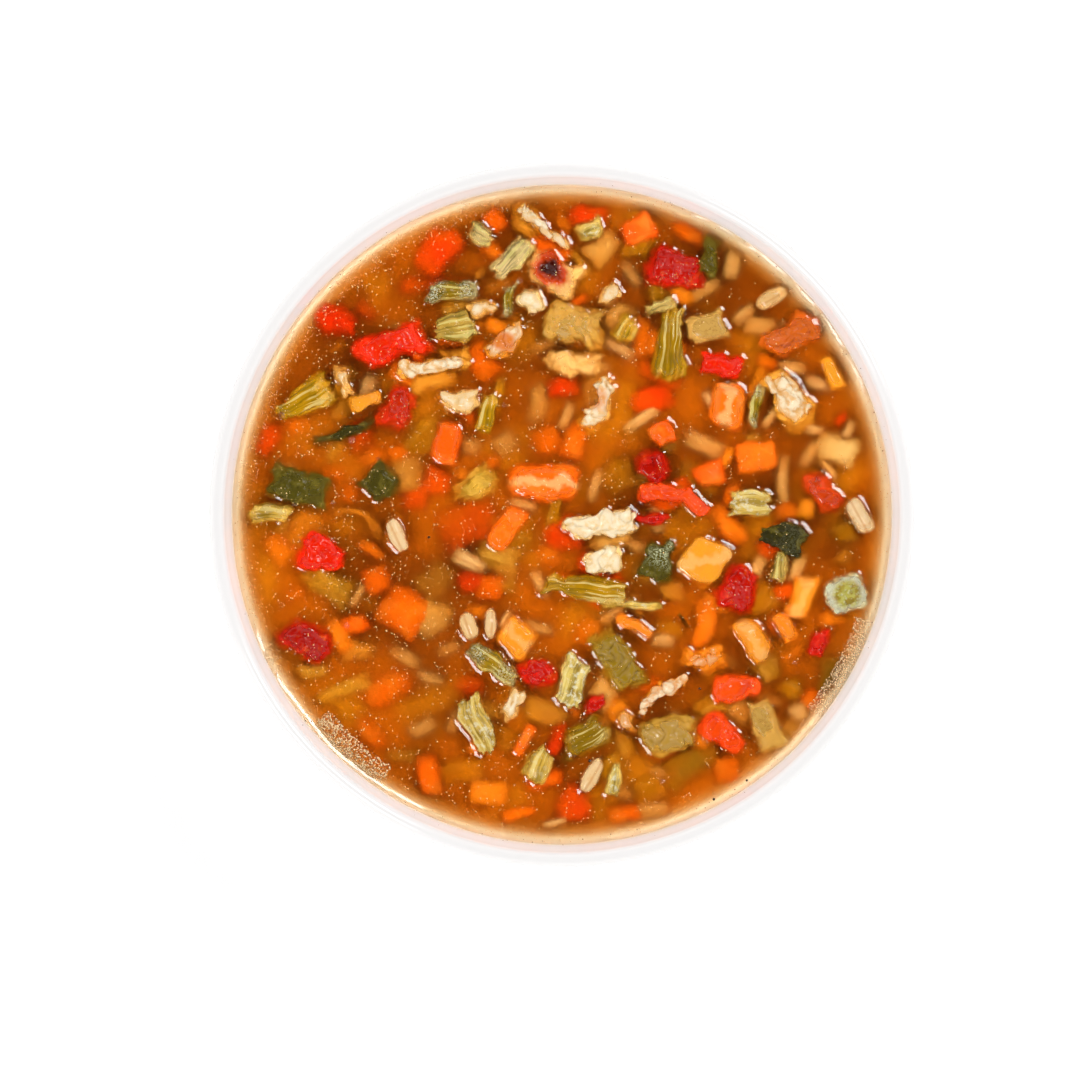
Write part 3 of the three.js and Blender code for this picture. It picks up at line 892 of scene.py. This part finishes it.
# Small pieces at the surface, by kind: middle in plan, turn, length and width, how far each
# stands over the broth, and its tint.
GRAIN_HEIGHT = 2.6
GRAIN_SETTLE = 0.4
GRAINS = {
    "onion": [
        ((-43.6, 26.8), -80, (5.8, 3.2), 1.5, 0.7), ((-20.8, 22.8), 8, (6.8, 3.6), 1.7, 0.85),
        ((-5.6, 42.7), 20, (4, 4), 1.8, 1.0), ((-16.4, 41.2), 0, (4.6, 2.6), 1.7, 0.7),
        ((9.6, 44), 30, (4.6, 3.4), 1.7, 0.75), ((-10, -37.8), 50, (6, 4.4), 1.9, 0.8),
        ((12.4, -41.8), 10, (3.8, 3.2), 1.6, 0.3),
    ],
    "carrot": [
        ((-39.4, 22.8), 15, (6.8, 3.0), 1.5, 0.95), ((20.4, 16.4), 30, (5.2, 4.8), 1.7, 0.3),
        ((54.4, 28.2), -62, (7, 2.8), 1.3, 0.95), ((-7.6, -44.8), 55, (6.4, 2.4), 1.2, 0.4),
        ((14.8, -22.4), -30, (8, 2.4), 1.3, 0.7), ((44.8, -22.6), -60, (5.6, 2.8), 1.5, 0.7),
    ],
    "greens": [
        ((-36.6, 6.4), 40, (7.6, 7.0), 1.4, 0.35), ((-43.4, 16.8), 18, (12, 2.2), 1.3, 0.2),
        ((29.8, 51.4), 80, (8, 3.2), 1.3, 0.6),
    ],
    "potato": [
        ((29.6, 37.6), 10, (7.6, 6.2), 1.4, 0.3),
    ],
    "tomato": [
        ((18, 10.2), -60, (6.6, 5.4), 1.2, 0.35), ((17.4, -1), -8, (8.4, 2.8), 1.3, 0.5),
        ((51.8, -25.8), 80, (5.6, 3.4), 1.2, 0.45), ((6.6, -37.9), 20, (4.4, 2.4), 1.3, 0.5),
    ],
    "celery": [
        ((-15.2, 20.4), 75, (7.8, 3.2), 1.5, 0.45), ((-58.4, 0.2), 0, (8, 3.4), 1.3, 0.7),
        ((5.8, 57.4), 10, (5, 3), 1.4, 0.9), ((12.6, 37.6), 60, (5.6, 5), 1.2, 0.55),
        ((-4.4, -49.6), 65, (6, 4.8), 1.6, 0.7), ((14.4, -18.2), -4, (12.4, 1.8), 1.3, 0.8),
        ((10.4, -53), 80, (7.4, 2.6), 1.6, 0.9),
    ],
    "barley": [
        ((-33, -4), -62, (6.4, 3), 1.8, 0.8), ((42, 43.4), 30, (6.4, 3.2), 1.4, 0.5),
        ((-18.6, -22.2), -70, (5.2, 3), 1.7, 0.6), ((-14.2, -21.8), 85, (6, 2.4), 1.7, 0.7),
        ((6, -52.2), 60, (6.8, 2.8), 1.8, 0.7),
    ],
    "leek": [
        ((-16.2, 56.3), -20, (5.8, 4.4), 1.8, 0.85), ((-11, 43.4), 85, (6.8, 2.8), 1.4, 0.3),
        ((20.2, 42.1), 15, (5.8, 2.2), 1.4, 0.7), ((39.1, 21.8), 85, (8, 2.6), 1.5, 0.4),
        ((43.6, -10.6), 88, (5.6, 3.6), 1.5, 0.65),
    ],
}

# Pieces that the broth covers, by kind: middle in plan, turn, size, depth of the top, tint
# and, for some, how they bend.
SUNK = {
    "pepper": [
        ((-45.5, 38.9), -12, (9.4, 6, 4), 0.5, 0.55), ((-30, 46.3), 20, (6, 5, 4), 2.8, 0.4),
        ((-24.8, 52.9), 62, (9.4, 7.4, 5), 0.4, 0.62), ((-59, 14.7), 70, (6.4, 5, 4), 1.4, 0.75),
        ((-29.4, 2.9), 0, (5, 5, 4), 1.8, 0.75), ((-25.4, 6.9), 40, (6, 5.4, 4), 1.8, 0.7),
        ((0.2, 25.7), 5, (6, 4, 4), 0.9, 0.5), ((-18.4, -13.4), 10, (5, 5, 4), 1.4, 0.6),
        ((-18.4, -34.1), 30, (6, 5, 4), 2.8, 0.5), ((18, 23.3), 10, (8.6, 6.2, 4), 0.7, 0.5),
        ((56, 18.9), 20, (3.6, 2.6, 3), 1.2, 0.5), ((5, 60), 5, (8, 4.4, 4), 0.8, 0.55),
        ((2.2, -58.1), 0, (7.4, 7, 4), 0.9, 0.85),
        ((-2.2, -46), 60, (9, 3, 3), 0.7, 0.4, {"curl": 60}),
    ],
    "onion": [
        ((-45.4, 33.5), 30, (4.4, 3, 3), 2.6, 0.4), ((-50.4, 13.5), -20, (4, 3, 3), 2.6, 0.4),
        ((-41, -0.8), -28, (12.4, 2.4, 2.6), 0.9, 0.3, {"curl": -110}),
        ((-3.4, -39.3), -10, (11, 6, 4), 1.4, 0.2), ((3.4, 50.8), -60, (6, 3, 3), 1.1, 0.1),
        ((-27.2, 26.8), 10, (9.6, 4.6, 3), 0.2, 0.55), ((-21, 31.4), 18, (7.4, 4.4, 3), 0.2, 0.6),
        ((-6.8, 59), -60, (8, 5, 3), 0.5, 0.55), ((6, 19), 40, (5.4, 4.6, 3), 0.3, 0.55),
        ((48, 20.4), 20, (6.6, 6, 3), 0.3, 0.6), ((10, -5.6), 10, (9, 5.6, 3), 0.3, 0.7),
    ],
    "tomato": [
        ((-40.4, 15.3), 15, (7, 5, 4), 0.9, 0.4), ((-18.4, -2), 20, (12.6, 9.4, 5), 0.9, 0.65),
    ],
    "carrot": [
        ((-46.4, 7.9), 10, (5, 4, 4), 2.6, 0.5), ((-42.4, 4.3), 50, (5, 4, 4), 2.8, 0.4),
        ((-37.4, 11.2), -30, (6, 4.6, 4), 2.4, 0.4), ((-32.4, 12.6), 20, (5, 4.6, 4), 2.2, 0.5),
        ((-38.2, -7.2), -29, (6.4, 2.4, 3), 1.4, 0.6), ((-37.4, -13.1), 20, (6, 5.6, 4), 1.1, 0.45),
        ((-31.6, -19.5), -31, (9.8, 9.2, 6), 0.6, 0.5, {"roundness": 0.15}),
        ((-45, -24.1), -60, (8, 3.6, 4), 0.9, 0.7), ((-41.8, -22), 10, (6, 4, 4), 0.7, 0.3),
        ((-35, -35.1), 30, (10.4, 6, 4), 1.7, 0.4), ((-38.4, -44.1), -40, (8, 4.4, 4), 2.2, 0.45),
        ((-2.8, 14.9), 30, (6, 5.6, 4), 1.8, 0.5), ((2.6, 14.9), 75, (8, 5.6, 4), 1.1, 0.45),
        ((-2.4, -8.1), 15, (6, 6, 4), 2.8, 0.4), ((-14.4, -14.8), -10, (5.6, 5, 4), 1.3, 0.4),
        ((33.6, -2.1), -53, (10, 4.4, 4), 0.8, 0.6), ((49.2, 1.3), 80, (5, 4, 4), 0.9, 0.9),
        ((45, 0.9), 10, (5, 5, 4), 1.5, 0.6), ((54.2, -21), 35, (5.4, 4.4, 4), 1.3, 0.7),
        ((28.6, -22.1), 80, (10.4, 4.4, 4), 0.6, 0.6), ((-13.6, 59), -50, (5.4, 4.4, 4), 0.5, 0.35),
        ((25.6, 56.5), -30, (8.4, 4.6, 4), 1.6, 0.4), ((50, -37.1), 20, (5, 4.6, 4), 1.5, 0.5),
        ((-26.8, -52.3), -80, (8, 4.6, 4), 0.7, 0.4),
        ((-14.6, -55.7), 5, (7.4, 5, 4), 0.8, 0.75, {"roundness": 0.2}),
        ((-8.4, -60.1), 10, (7, 3, 3), 1.1, 0.45), ((12.6, -59.9), 8, (7, 4, 4), 1.1, 0.35),
        ((32.8, -51), 20, (6, 5.4, 4), 1.8, 0.5),
    ],
    "celery": [
        ((-27.9, 15.6), 47, (10, 6, 4), 1.1, 0.3), ((-47.2, -13.6), -42, (12, 6.4, 4), 0.9, 0.6),
        ((-43.9, -34.9), 24, (11, 4.2, 4), 1.3, 0.7), ((-42.4, -39.1), -10, (8, 5, 4), 2.8, 0.4),
        ((-13, 23.9), 80, (8, 2.2, 2.6), 0.9, 0.5), ((-10.6, -14.1), 0, (5, 4, 3), 1.8, 0.7),
        ((11.6, 7.9), 30, (8.4, 7.6, 4), 1.8, 0.25), ((56.6, -3.1), 20, (6, 5, 4), 1.4, 0.4),
        ((22, -23.1), 0, (6, 5, 4), 1.8, 0.3), ((46, -35.4), -30, (6, 4.6, 3.4), 1.2, 0.3),
        ((-19.6, -51.4), 10, (10, 5, 4), 2.2, 0.4), ((17.8, -54.9), 20, (8, 6, 4), 1.8, 0.4),
    ],
    "barley": [
        ((-41, -16.1), 60, (6, 2, 2), 0.9, 0.3), ((-11.4, 14.5), 30, (5, 4.6, 3), 2.2, 0.5),
        ((-18.4, 13.9), 0, (5, 3.6, 3), 2.2, 0.5), ((1, 19.9), 70, (6, 2, 2), 0.9, 0.4),
        ((-18.6, -9.3), -25, (7.4, 3, 2.6), 0.6, 0.7), ((-11.4, -21.1), 60, (5, 1.8, 2), 0.8, 0.6),
        ((16.3, 19.4), 34, (9, 2.6, 2.4), 0.6, 0.6), ((6.8, 5.9), 80, (7, 2.4, 2.4), 0.8, 0.35),
        ((28.6, 14.1), -25, (9, 4, 3), 1.1, 0.5), ((42.2, 19.9), 50, (6, 2.2, 2.4), 0.8, 0.5),
        ((57.4, 16.9), 60, (4.6, 2, 2.4), 0.9, 0.6), ((50.6, 17.1), -15, (4.6, 2.2, 2.4), 0.9, 0.6),
        ((53.4, 8.9), -56, (5.8, 2, 2.4), 0.9, 0.5), ((44.3, 6.9), 88, (10, 2.6, 2.4), 0.8, 0.4),
        ((39, -11.1), 60, (6.4, 3, 2.6), 0.7, 0.5), ((47.2, -10.7), 70, (6, 3, 2.6), 0.7, 0.5),
        ((20.4, -25.1), -10, (5, 3, 2.6), 1.0, 0.6), ((34.2, 50.3), 78, (6.6, 3.4, 3), 0.9, 0.5),
        ((36.6, 40.3), 42, (6, 2.6, 2.6), 0.9, 0.5), ((40, 37.9), -12, (7, 4, 3), 1.1, 0.4),
        ((47.6, -39.5), 30, (4.4, 3.6, 3), 1.0, 0.6), ((-1.4, -61.9), 12, (5, 1.6, 2), 0.8, 0.7),
        ((18.6, -59.2), 14, (7, 3.4, 3), 1.3, 0.3),
    ],
    "potato": [
        ((8, 53.6), 45, (7.4, 6, 4), 0.7, 0.5), ((45.2, -44.5), 38, (9, 6.4, 4), 1.6, 0.3),
    ],
    "greens": [
        ((53.4, -31.9), 80, (7.6, 5.4, 3), 0.6, 0.5), ((0.6, -48.9), -20, (5, 1.6, 2), 0.4, 0.0),
        ((25.6, -50.1), 34, (12.4, 7, 3), 0.6, 0.8), ((24.6, -20.8), -55, (4.2, 0.9, 1), 0.0, 0.0),
    ],
}

GRAIN_CUTS = 9
SUNK_CUTS = 6

# Drops of oil, and their radii in mm.
OIL_COUNT = 4000
OIL_SIZES = (0.07, 0.19)

# Froth along the wall: from which angle to which, over which radii, how many drops, how big.
FROTH = [
    (-38, -19, 62.4, 65.6, (1000, (0.08, 0.2))),
    (220, 236, 60.8, 64.6, (600, (0.09, 0.28))),
    (100, 176, 61.4, 65, (560, (0.06, 0.15))),
    (176, 220, 63, 65.4, (180, (0.06, 0.14))),
    (236, 322, 63.4, 65.4, (240, (0.06, 0.14))),
    (-19, 100, 63.6, 65.6, (300, (0.06, 0.14))),
]
DARK_SPECKS = [(30.4, -56.9), (37, -53.1), (-26.6, -4.5), (5.6, -49.2), (27.6, -34.8)]

# The larger bubbles; more of them, small ones, lie along the edges of what floats.
BUBBLES = [
    (-11.6, 21.9), (-56, 19.9), (-42, 14.9), (-45.8, 2.5), (-47.4, 41.3), (-43, -22.1),
    (46.6, -29.5), (20.2, -53.3), (-8.4, 46.8), (33.2, 26.6), (52.4, 8.8), (-3.6, -29.8),
]
SMALL_BUBBLES = 210
ABOVE_ALL = 100

# The deep pieces scattered between the others: how many, how far apart in mm, and of what.
DEEP_COUNT = 130
DEEP_SPACING = 4.6
DEEP_REACH = 59
DEEP_LENGTHS, DEEP_WIDTHS = (4.5, 9.5), (0.4, 0.95)  # a width is a share of its length
DEEP_GRAIN_LENGTHS, DEEP_GRAIN_WIDTHS = (5.5, 7.5), (2.4, 3.2)
DEEP_HEIGHT = 3.6
DEEP_TOPS, DEEP_TINTS = (0.8, 2.6), (0.1, 0.9)
DEEP_KINDS = {"carrot": 8, "celery": 5, "onion": 4, "barley": 6, "pepper": 2, "potato": 2}


# ---- Operators ----

class SOUP_OT_bowl(bpy.types.Operator):
    """Turns the glazed bowl on its foot ring"""

    bl_idname = "soup.bowl"
    bl_label = "Bowl"

    def execute(self, context):
        bowl = settings().bowl
        over_foot = station_where(lambda s: outside_point(s).x, bowl.foot_radius)
        recess = bowl.floor_height - bowl.base_thickness
        inner_foot = bowl.foot_radius - bowl.foot_width
        round_off = 0.7
        lip = bowl.lip_width / 2
        lip_middle = Vector((bowl.rim_radius - lip, bowl.height - lip))
        outline = [
            Vector((0, recess)),
            Vector((inner_foot - FOOT_TAPER - 1, recess)),
            Vector((inner_foot - FOOT_TAPER, recess - 0.3)),
            *arc(Vector((inner_foot + round_off, round_off)), round_off, 180, 270, 5),
            *arc(Vector((bowl.foot_radius - round_off, round_off)), round_off, -90, 0, 5),
            *[outside_point(s) for s in stations(over_foot, 1, 36)][:-1],
            *arc(lip_middle, lip, 0, 180, 16)[:-1],
            *[wall_point(s) for s in stations(1, 0, 56)],
        ]
        bm = turned(outline)
        soaked, bare = [], []
        for vertex in bm.verts:
            x, y, z = vertex.co
            inside = vertex.normal.x * x + vertex.normal.y * y < 0
            soaked.append(bowl.height - 1.5 - z if inside else DRY)
            bare.append(float(z < BARE_HEIGHT))
        served("glazed_bowl", bm, glaze_material(), "glaze", ["bowl"],
               {"soaked": soaked, "bare": bare})
        return {"FINISHED"}


def dress_floats(self, context):
    for number, look in enumerate(LOOKS[self.kind], 1):
        float_piece(f"{self.kind}_{number}", self.kind, number, look)
    return {"FINISHED"}


# One operator for each kind of vegetable that floats in pieces of its own.
FLOAT_STEPS = [
    type(f"SOUP_OT_{kind}", (bpy.types.Operator,), {
        "__doc__": f"Dresses the floating pieces of {kind}",
        "bl_idname": f"soup.{kind}",
        "bl_label": kind.capitalize(),
        "kind": kind,
        "execute": dress_floats,
    })
    for kind in LOOKS
]


class SOUP_OT_grains(bpy.types.Operator):
    """Floats the barley grains and small chips"""

    bl_idname = "soup.grains"
    bl_label = "Small pieces"

    def execute(self, context):
        for seed, (kind, rows) in enumerate(GRAINS.items(), 1):
            batch = Batch(kind, seed)
            roundness, dome = (0.9, 0.3) if kind == "barley" else (0.3, 0.9)
            for at, turn, plan, proud, tint in rows:
                batch.chunk(at, turn, (*plan, GRAIN_HEIGHT), level() + proud - GRAIN_SETTLE,
                            tint, GRAIN_CUTS, roundness, dome)
            batch.serve(f"{kind}_chips", ["broth"])
        return {"FINISHED"}


class SOUP_OT_sunk(bpy.types.Operator):
    """Sinks the pieces that the broth covers"""

    bl_idname = "soup.sunk"
    bl_label = "Sunk pieces"

    def execute(self, context):
        deep = self.scattered()
        for seed, (kind, rows) in enumerate(SUNK.items(), 20):
            batch = Batch(kind, seed)
            for at, turn, size, depth, tint, *bends in rows + deep[kind]:
                bent = {"roundness": 0.45, "dome": 1.2, **(bends[0] if bends else {})}
                batch.chunk(at, turn, size, level() - depth, tint, SUNK_CUTS, **bent)
            batch.serve(f"{kind}_sunk", sunk=True)
        return {"FINISHED"}

    def scattered(self):
        """Deeper pieces, hardly to be made out, between the others."""
        draw = random.Random(7)
        places = [row[0] for rows in SUNK.values() for row in rows]
        deep = {kind: [] for kind in SUNK}
        for _ in range(DEEP_COUNT):
            at = disc_spot(draw, DEEP_REACH)
            while min(math.dist(at, other) for other in places) < DEEP_SPACING:
                at = disc_spot(draw, DEEP_REACH)
            places.append(at)
            kind = draw.choices(list(DEEP_KINDS), DEEP_KINDS.values())[0]
            length = draw.uniform(*DEEP_LENGTHS)
            width = length * draw.uniform(*DEEP_WIDTHS)
            if kind == "barley":
                length = draw.uniform(*DEEP_GRAIN_LENGTHS)
                width = draw.uniform(*DEEP_GRAIN_WIDTHS)
            deep[kind].append((at, draw.uniform(0, 180), (length, width, DEEP_HEIGHT),
                               draw.uniform(*DEEP_TOPS), draw.uniform(*DEEP_TINTS)))
        return deep


FLOATING = ("_cooked", "_chips")


def tree_of(endings):
    """The pieces with such names as one tree to measure distances to, in mm."""
    points, faces = [], []
    for piece in bpy.data.objects:
        if piece.name.endswith(endings):
            start = len(points)
            points += [v.co / MM for v in piece.data.vertices]
            faces += [[start + i for i in p.vertices] for p in piece.data.polygons]
    return BVHTree.FromPolygons(points, faces)


class SOUP_OT_broth(bpy.types.Operator):
    """Pours the broth: a clear top that climbs what floats in it, over a cloudy body"""

    bl_idname = "soup.broth"
    bl_label = "Broth"

    # The surface's mesh, in mm: how far apart its rings are, and how near to what floats and
    # to the wall it is fine.
    ring_spacing = 1.1
    around = 360
    touching, near, near_wall = 0.7, 1.45, 3
    # How fast the climb falls away, and the height of the climb up the wall and its unevenness.
    float_fall, wall_fall = 1.5, 2.3
    wall_climb, uneven = 1.3, 0.3
    # The cloudy body: its gap to the wall and to the surface at its edge, and how wide it slopes.
    core_gap, core_edge, core_slope = 0.1, 0.25, 3.4

    def poured(self, top, edge, rings, waterline, off_wall, around):
        """A body of broth: a flat top in rings, and the wall's own form under it."""
        outline = [Vector((r, top)) for r in stations(0, edge, rings)]
        under = [wall_point(s, off_wall) for s in stations(waterline, 0, 14)][1:]
        under[-1].x = 0
        return turned(outline + under, around)

    def execute(self, context):
        surface = level()
        waterline = station_where(lambda s: wall_point(s).y, surface)
        edge = wall_point(waterline, -INTO_WALL).x
        rings = round(edge / self.ring_spacing)
        bm = self.poured(surface, edge, rings, waterline, -INTO_WALL, self.around)
        tree = tree_of(FLOATING)
        fine = {v for v in bm.verts
                if abs(v.co.z - surface) < FLAT and self.by_something(v.co, tree, edge)}
        edges = [e for e in bm.edges if e.verts[0] in fine and e.verts[1] in fine]
        bmesh.ops.subdivide_edges(bm, edges=edges, cuts=2, use_grid_fill=True)
        bmesh.ops.triangulate(bm, faces=bm.faces)
        for vertex in bm.verts:
            if abs(vertex.co.z - surface) > FLAT:
                continue
            spot = Vector((vertex.co.x, vertex.co.y, 0))
            gap = tree.find_nearest(vertex.co)[3]
            wall = self.wall_climb + self.uneven * noise.noise(spot / 9)
            climb = settings().broth.rise * math.exp(-gap / self.float_fall)
            climb += wall * math.exp((spot.length - edge) / self.wall_fall)
            vertex.co.z += climb + 0.03 * noise.noise(spot / 3.5)
        served("broth_surface", bm, clear_material("broth_surface", 1.33, 0.8), "broth", ["broth"])
        self.pour_core(surface - settings().broth.core_depth)
        return {"FINISHED"}

    def by_something(self, place, tree, edge):
        """Whether the surface is near the wall, or near a piece and not hidden under one."""
        if math.hypot(place.x, place.y) > edge - self.near_wall:
            return True
        gap = tree.find_nearest(place)[3]
        if gap < self.touching or gap > self.near:
            return gap < self.touching
        hit, normal, *_ = tree.ray_cast(place, Vector((0, 0, 1)))
        return hit is None or normal.z <= 0

    def pour_core(self, top):
        """The cloudy body, rising to the surface along the wall."""
        shore_height = level() - self.core_edge
        high = station_where(lambda s: wall_point(s).y, shore_height)
        edge = wall_point(high, -self.core_gap).x
        bm = self.poured(top, edge, 76, high, -self.core_gap, 200)
        shore = []
        for vertex in bm.verts:
            spot = Vector((vertex.co.x, vertex.co.y, 0))
            shore.append(edge - spot.length)
            if abs(vertex.co.z - top) < FLAT:
                swell = 0.5 * noise.noise(spot / 9) + 0.2 * noise.noise(spot / 3)
                slope = max(0.0, 1 - shore[-1] / self.core_slope)
                vertex.co.z += swell * (1 - slope) + (shore_height - top) * slope ** 1.5
        served("cloudy_broth", bm, core_material(), "broth", ["broth"], {"shore": shore})


class SOUP_OT_droplets(bpy.types.Operator):
    """Strews drops of oil, froth, bubbles and specks over the broth"""

    bl_idname = "soup.droplets"
    bl_label = "Oil, froth and specks"

    oil_reach, bubble_reach = 63, 62
    bubble_gaps = (0.15, 0.6)

    def execute(self, context):
        surface = tree_of((*FLOATING, "broth_surface", "glazed_bowl"))
        floats = tree_of(FLOATING)
        draw = random.Random(11)
        spots, places = iter(DARK_SPECKS), iter(BUBBLES)
        strewn = (
            ("oil_droplets", drop_material("oil", settings().broth.gold, 0.3), [
                (lambda: self.oily_spot(draw), OIL_COUNT, OIL_SIZES)]),
            ("froth", drop_material("froth", screen(238, 204, 156), 0.35), [
                (partial(self.on_arc, draw, *ends), *many) for *ends, many in FROTH]),
            ("wall_specks", drop_material("speck", screen(120, 78, 44), 0.6), [
                (partial(self.on_arc, draw, 0, 360, 64.6, 66.6), 150, (0.06, 0.17))]),
            ("dark_specks", drop_material("dark", screen(34, 14, 8), 0.5), [
                (lambda: next(spots), len(DARK_SPECKS), (0.3, 0.42))]),
            ("bubbles", clear_material("bubble", 1.1, 0.0), [
                (lambda: next(places), len(BUBBLES), (0.5, 0.8)),
                (lambda: self.beside_float(draw, floats), SMALL_BUBBLES, (0.14, 0.4))]),
        )
        for name, material, groups in strewn:
            self.strew(name, material, surface, draw, groups)
        return {"FINISHED"}

    def beside_float(self, draw, floats):
        """A place in the broth just off the edge of something that floats."""
        while True:
            x, y = disc_spot(draw, self.bubble_reach)
            gap = floats.find_nearest(Vector((x, y, level() + 0.2)))[3]
            if self.bubble_gaps[0] < gap < self.bubble_gaps[1]:
                return x, y

    def oily_spot(self, draw):
        """A place in the broth, more often where the oil has gathered."""
        while True:
            x, y = disc_spot(draw, self.oil_reach)
            gathered = noise.noise(Vector((x, y, 4)) / 5) + 0.5 * noise.noise(Vector((x, y, 9)) / 2)
            if draw.random() < 0.34 + 1.1 * gathered - 0.006 * x:
                return x, y

    def on_arc(self, draw, start, end, inner, outer):
        turn = math.radians(draw.uniform(start, end))
        radius = draw.uniform(inner, outer)
        return radius * math.cos(turn), radius * math.sin(turn)

    def strew(self, name, material, surface, draw, groups):
        """Small domes standing on whatever is uppermost, by groups of place, count and size."""
        dome = self.dome(name == "bubbles")
        shape = [v.co.copy() for v in dome.verts]
        faces = [[v.index for v in f.verts] for f in dome.faces]
        dome.free()
        down = Vector((0, 0, -1))
        points, sides = [], []
        for spot_of, (least, most) in [(g[0], g[2]) for g in groups for _ in range(g[1])]:
            hit, normal, *_ = surface.ray_cast(Vector((*spot_of(), ABOVE_ALL)), down)
            radius = least + (most - least) * draw.random() ** 2
            lie = normal.to_track_quat("Z", "X").to_matrix() * radius
            middle = hit + normal * radius * 0.25
            sides += [[len(points) + i for i in face] for face in faces]
            points += [middle + lie @ co for co in shape]
        mesh = bpy.data.meshes.new("strewn")
        mesh.from_pydata(points, [], sides)
        bm = bmesh.new()
        bm.from_mesh(mesh)
        bpy.data.meshes.remove(mesh)
        served(name, bm, material, "broth")

    def dome(self, round_dome):
        """One drop, 1 mm in radius: round, or a few-sided low cone."""
        bm = bmesh.new()
        if round_dome:
            bmesh.ops.create_icosphere(bm, subdivisions=2, radius=1)
            bmesh.ops.scale(bm, vec=(1, 1, 0.7), verts=bm.verts)
        else:
            bmesh.ops.create_cone(bm, cap_ends=True, segments=5, radius1=1, radius2=0.3, depth=0.8)
        bm.verts.index_update()
        return bm


class SOUP_OT_stage(bpy.types.Operator):
    """Lays the pale floor, hangs the lights and sets the camera over the bowl"""

    bl_idname = "soup.stage"
    bl_label = "Stage"

    # The bowl's middle stands right of and above the picture's middle by this much, in mm.
    framing = Vector((-4.36, -5.05))
    floor_drop = 0.0002
    floor_radius = 0.45  # in m: as far as the softboxes keep it as bright as the sky behind it
    sky_strength, zenith = 1.56, 0.012
    softboxes = (
        # towards the diner's upper right and lower left: place in m, size in m, watts
        ((0.36, 0.34, 0.85), (0.34, 0.14), 3.3),
        ((-0.36, -0.36, 0.85), (0.34, 0.14), 3.1),
    )

    def execute(self, context):
        scene = context.scene
        self.lay_floor()
        self.light_sky(scene)
        for index, (place, size, power) in enumerate(self.softboxes):
            self.hang_softbox(scene, f"softbox_{index + 1}", Vector(place), size, power)
        self.set_camera(scene)
        scene.view_settings.view_transform = "Standard"
        scene.cycles.max_bounces = 6
        scene.cycles.diffuse_bounces = 2
        scene.cycles.glossy_bounces = 2
        scene.cycles.transmission_bounces = 4
        return {"FINISHED"}

    def lay_floor(self):
        bm = bmesh.new()
        bmesh.ops.create_circle(bm, cap_ends=True, radius=self.floor_radius, segments=96)
        mesh = bpy.data.meshes.new("floor")
        bm.to_mesh(mesh)
        bm.free()
        paint = new_paint("pale_floor")
        colour = settings().stage.floor
        mesh.materials.append(paint.finish(paint.shader(Base_Color=colour, Roughness=0.9)))
        floor = bpy.data.objects.new("floor", mesh)
        bpy.context.scene.collection.objects.link(floor)
        floor.location.z = -self.floor_drop

    def light_sky(self, scene):
        """Bright low down and dim overhead, where the broth mirrors it."""
        world = bpy.data.worlds.new("studio")
        paint = Paint(world)
        height = paint.node("ShaderNodeTexCoord", {}, output="Generated").part("Z")
        colour = paint.ramp(height, [(0.58, (1, 1, 1)), (0.78, (self.zenith,) * 3)])
        sky = paint.node("ShaderNodeBackground", {}, colour, self.sky_strength)
        paint.finish(sky, "ShaderNodeOutputWorld")
        world.cycles.sampling_method = "NONE"
        scene.world = world

    def hang_softbox(self, scene, name, place, size, power):
        lamp = bpy.data.lights.new(name, "AREA")
        lamp.shape = "RECTANGLE"
        lamp.size, lamp.size_y = size
        lamp.energy = power
        light = bpy.data.objects.new(name, lamp)
        light.location = place
        light.rotation_euler = (-place).to_track_quat("-Z", "Y").to_euler()
        scene.collection.objects.link(light)

    def set_camera(self, scene):
        stage = settings().stage
        lens = bpy.data.cameras.new("camera")
        lens.sensor_width = 36
        lens.lens = lens.sensor_width * stage.camera_height / stage.view_width
        camera = bpy.data.objects.new("camera", lens)
        height = settings().bowl.height + stage.camera_height
        camera.location = Vector((*self.framing, height)) * MM
        scene.collection.objects.link(camera)
        scene.camera = camera


class SOUP_PT_panel(bpy.types.Panel):
    """The soup's settings and steps"""

    bl_idname = "SOUP_PT_panel"
    bl_label = "Vegetable barley soup"
    bl_space_type = "VIEW_3D"
    bl_region_type = "UI"
    bl_category = "Soup"

    def draw(self, context):
        layout = self.layout
        soup = context.scene.soup
        for group in (soup.bowl, soup.broth, soup.vegetables, soup.stage):
            box = layout.box()
            for name in group.bl_rna.properties.keys():
                if name not in ("rna_type", "name"):
                    box.prop(group, name)
        for step in STEPS:
            layout.operator(step.bl_idname)


GROUPS = (BowlSettings, BrothSettings, VegetableSettings, StageSettings, SoupSettings)
STEPS = (
    SOUP_OT_bowl, *FLOAT_STEPS, SOUP_OT_grains, SOUP_OT_sunk, SOUP_OT_broth, SOUP_OT_droplets,
    SOUP_OT_stage,
)
CLASSES = (*GROUPS, *STEPS, SOUP_PT_panel)


def register():
    for cls in CLASSES:
        bpy.utils.register_class(cls)
    bpy.types.Scene.soup = bpy.props.PointerProperty(type=SoupSettings)


def unregister():
    del bpy.types.Scene.soup
    for cls in reversed(CLASSES):
        bpy.utils.unregister_class(cls)


def main():
    register()
    for step in STEPS:
        group, name = step.bl_idname.split(".")
        getattr(getattr(bpy.ops, group), name)()
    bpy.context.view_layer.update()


if __name__ == "__main__":
    main()
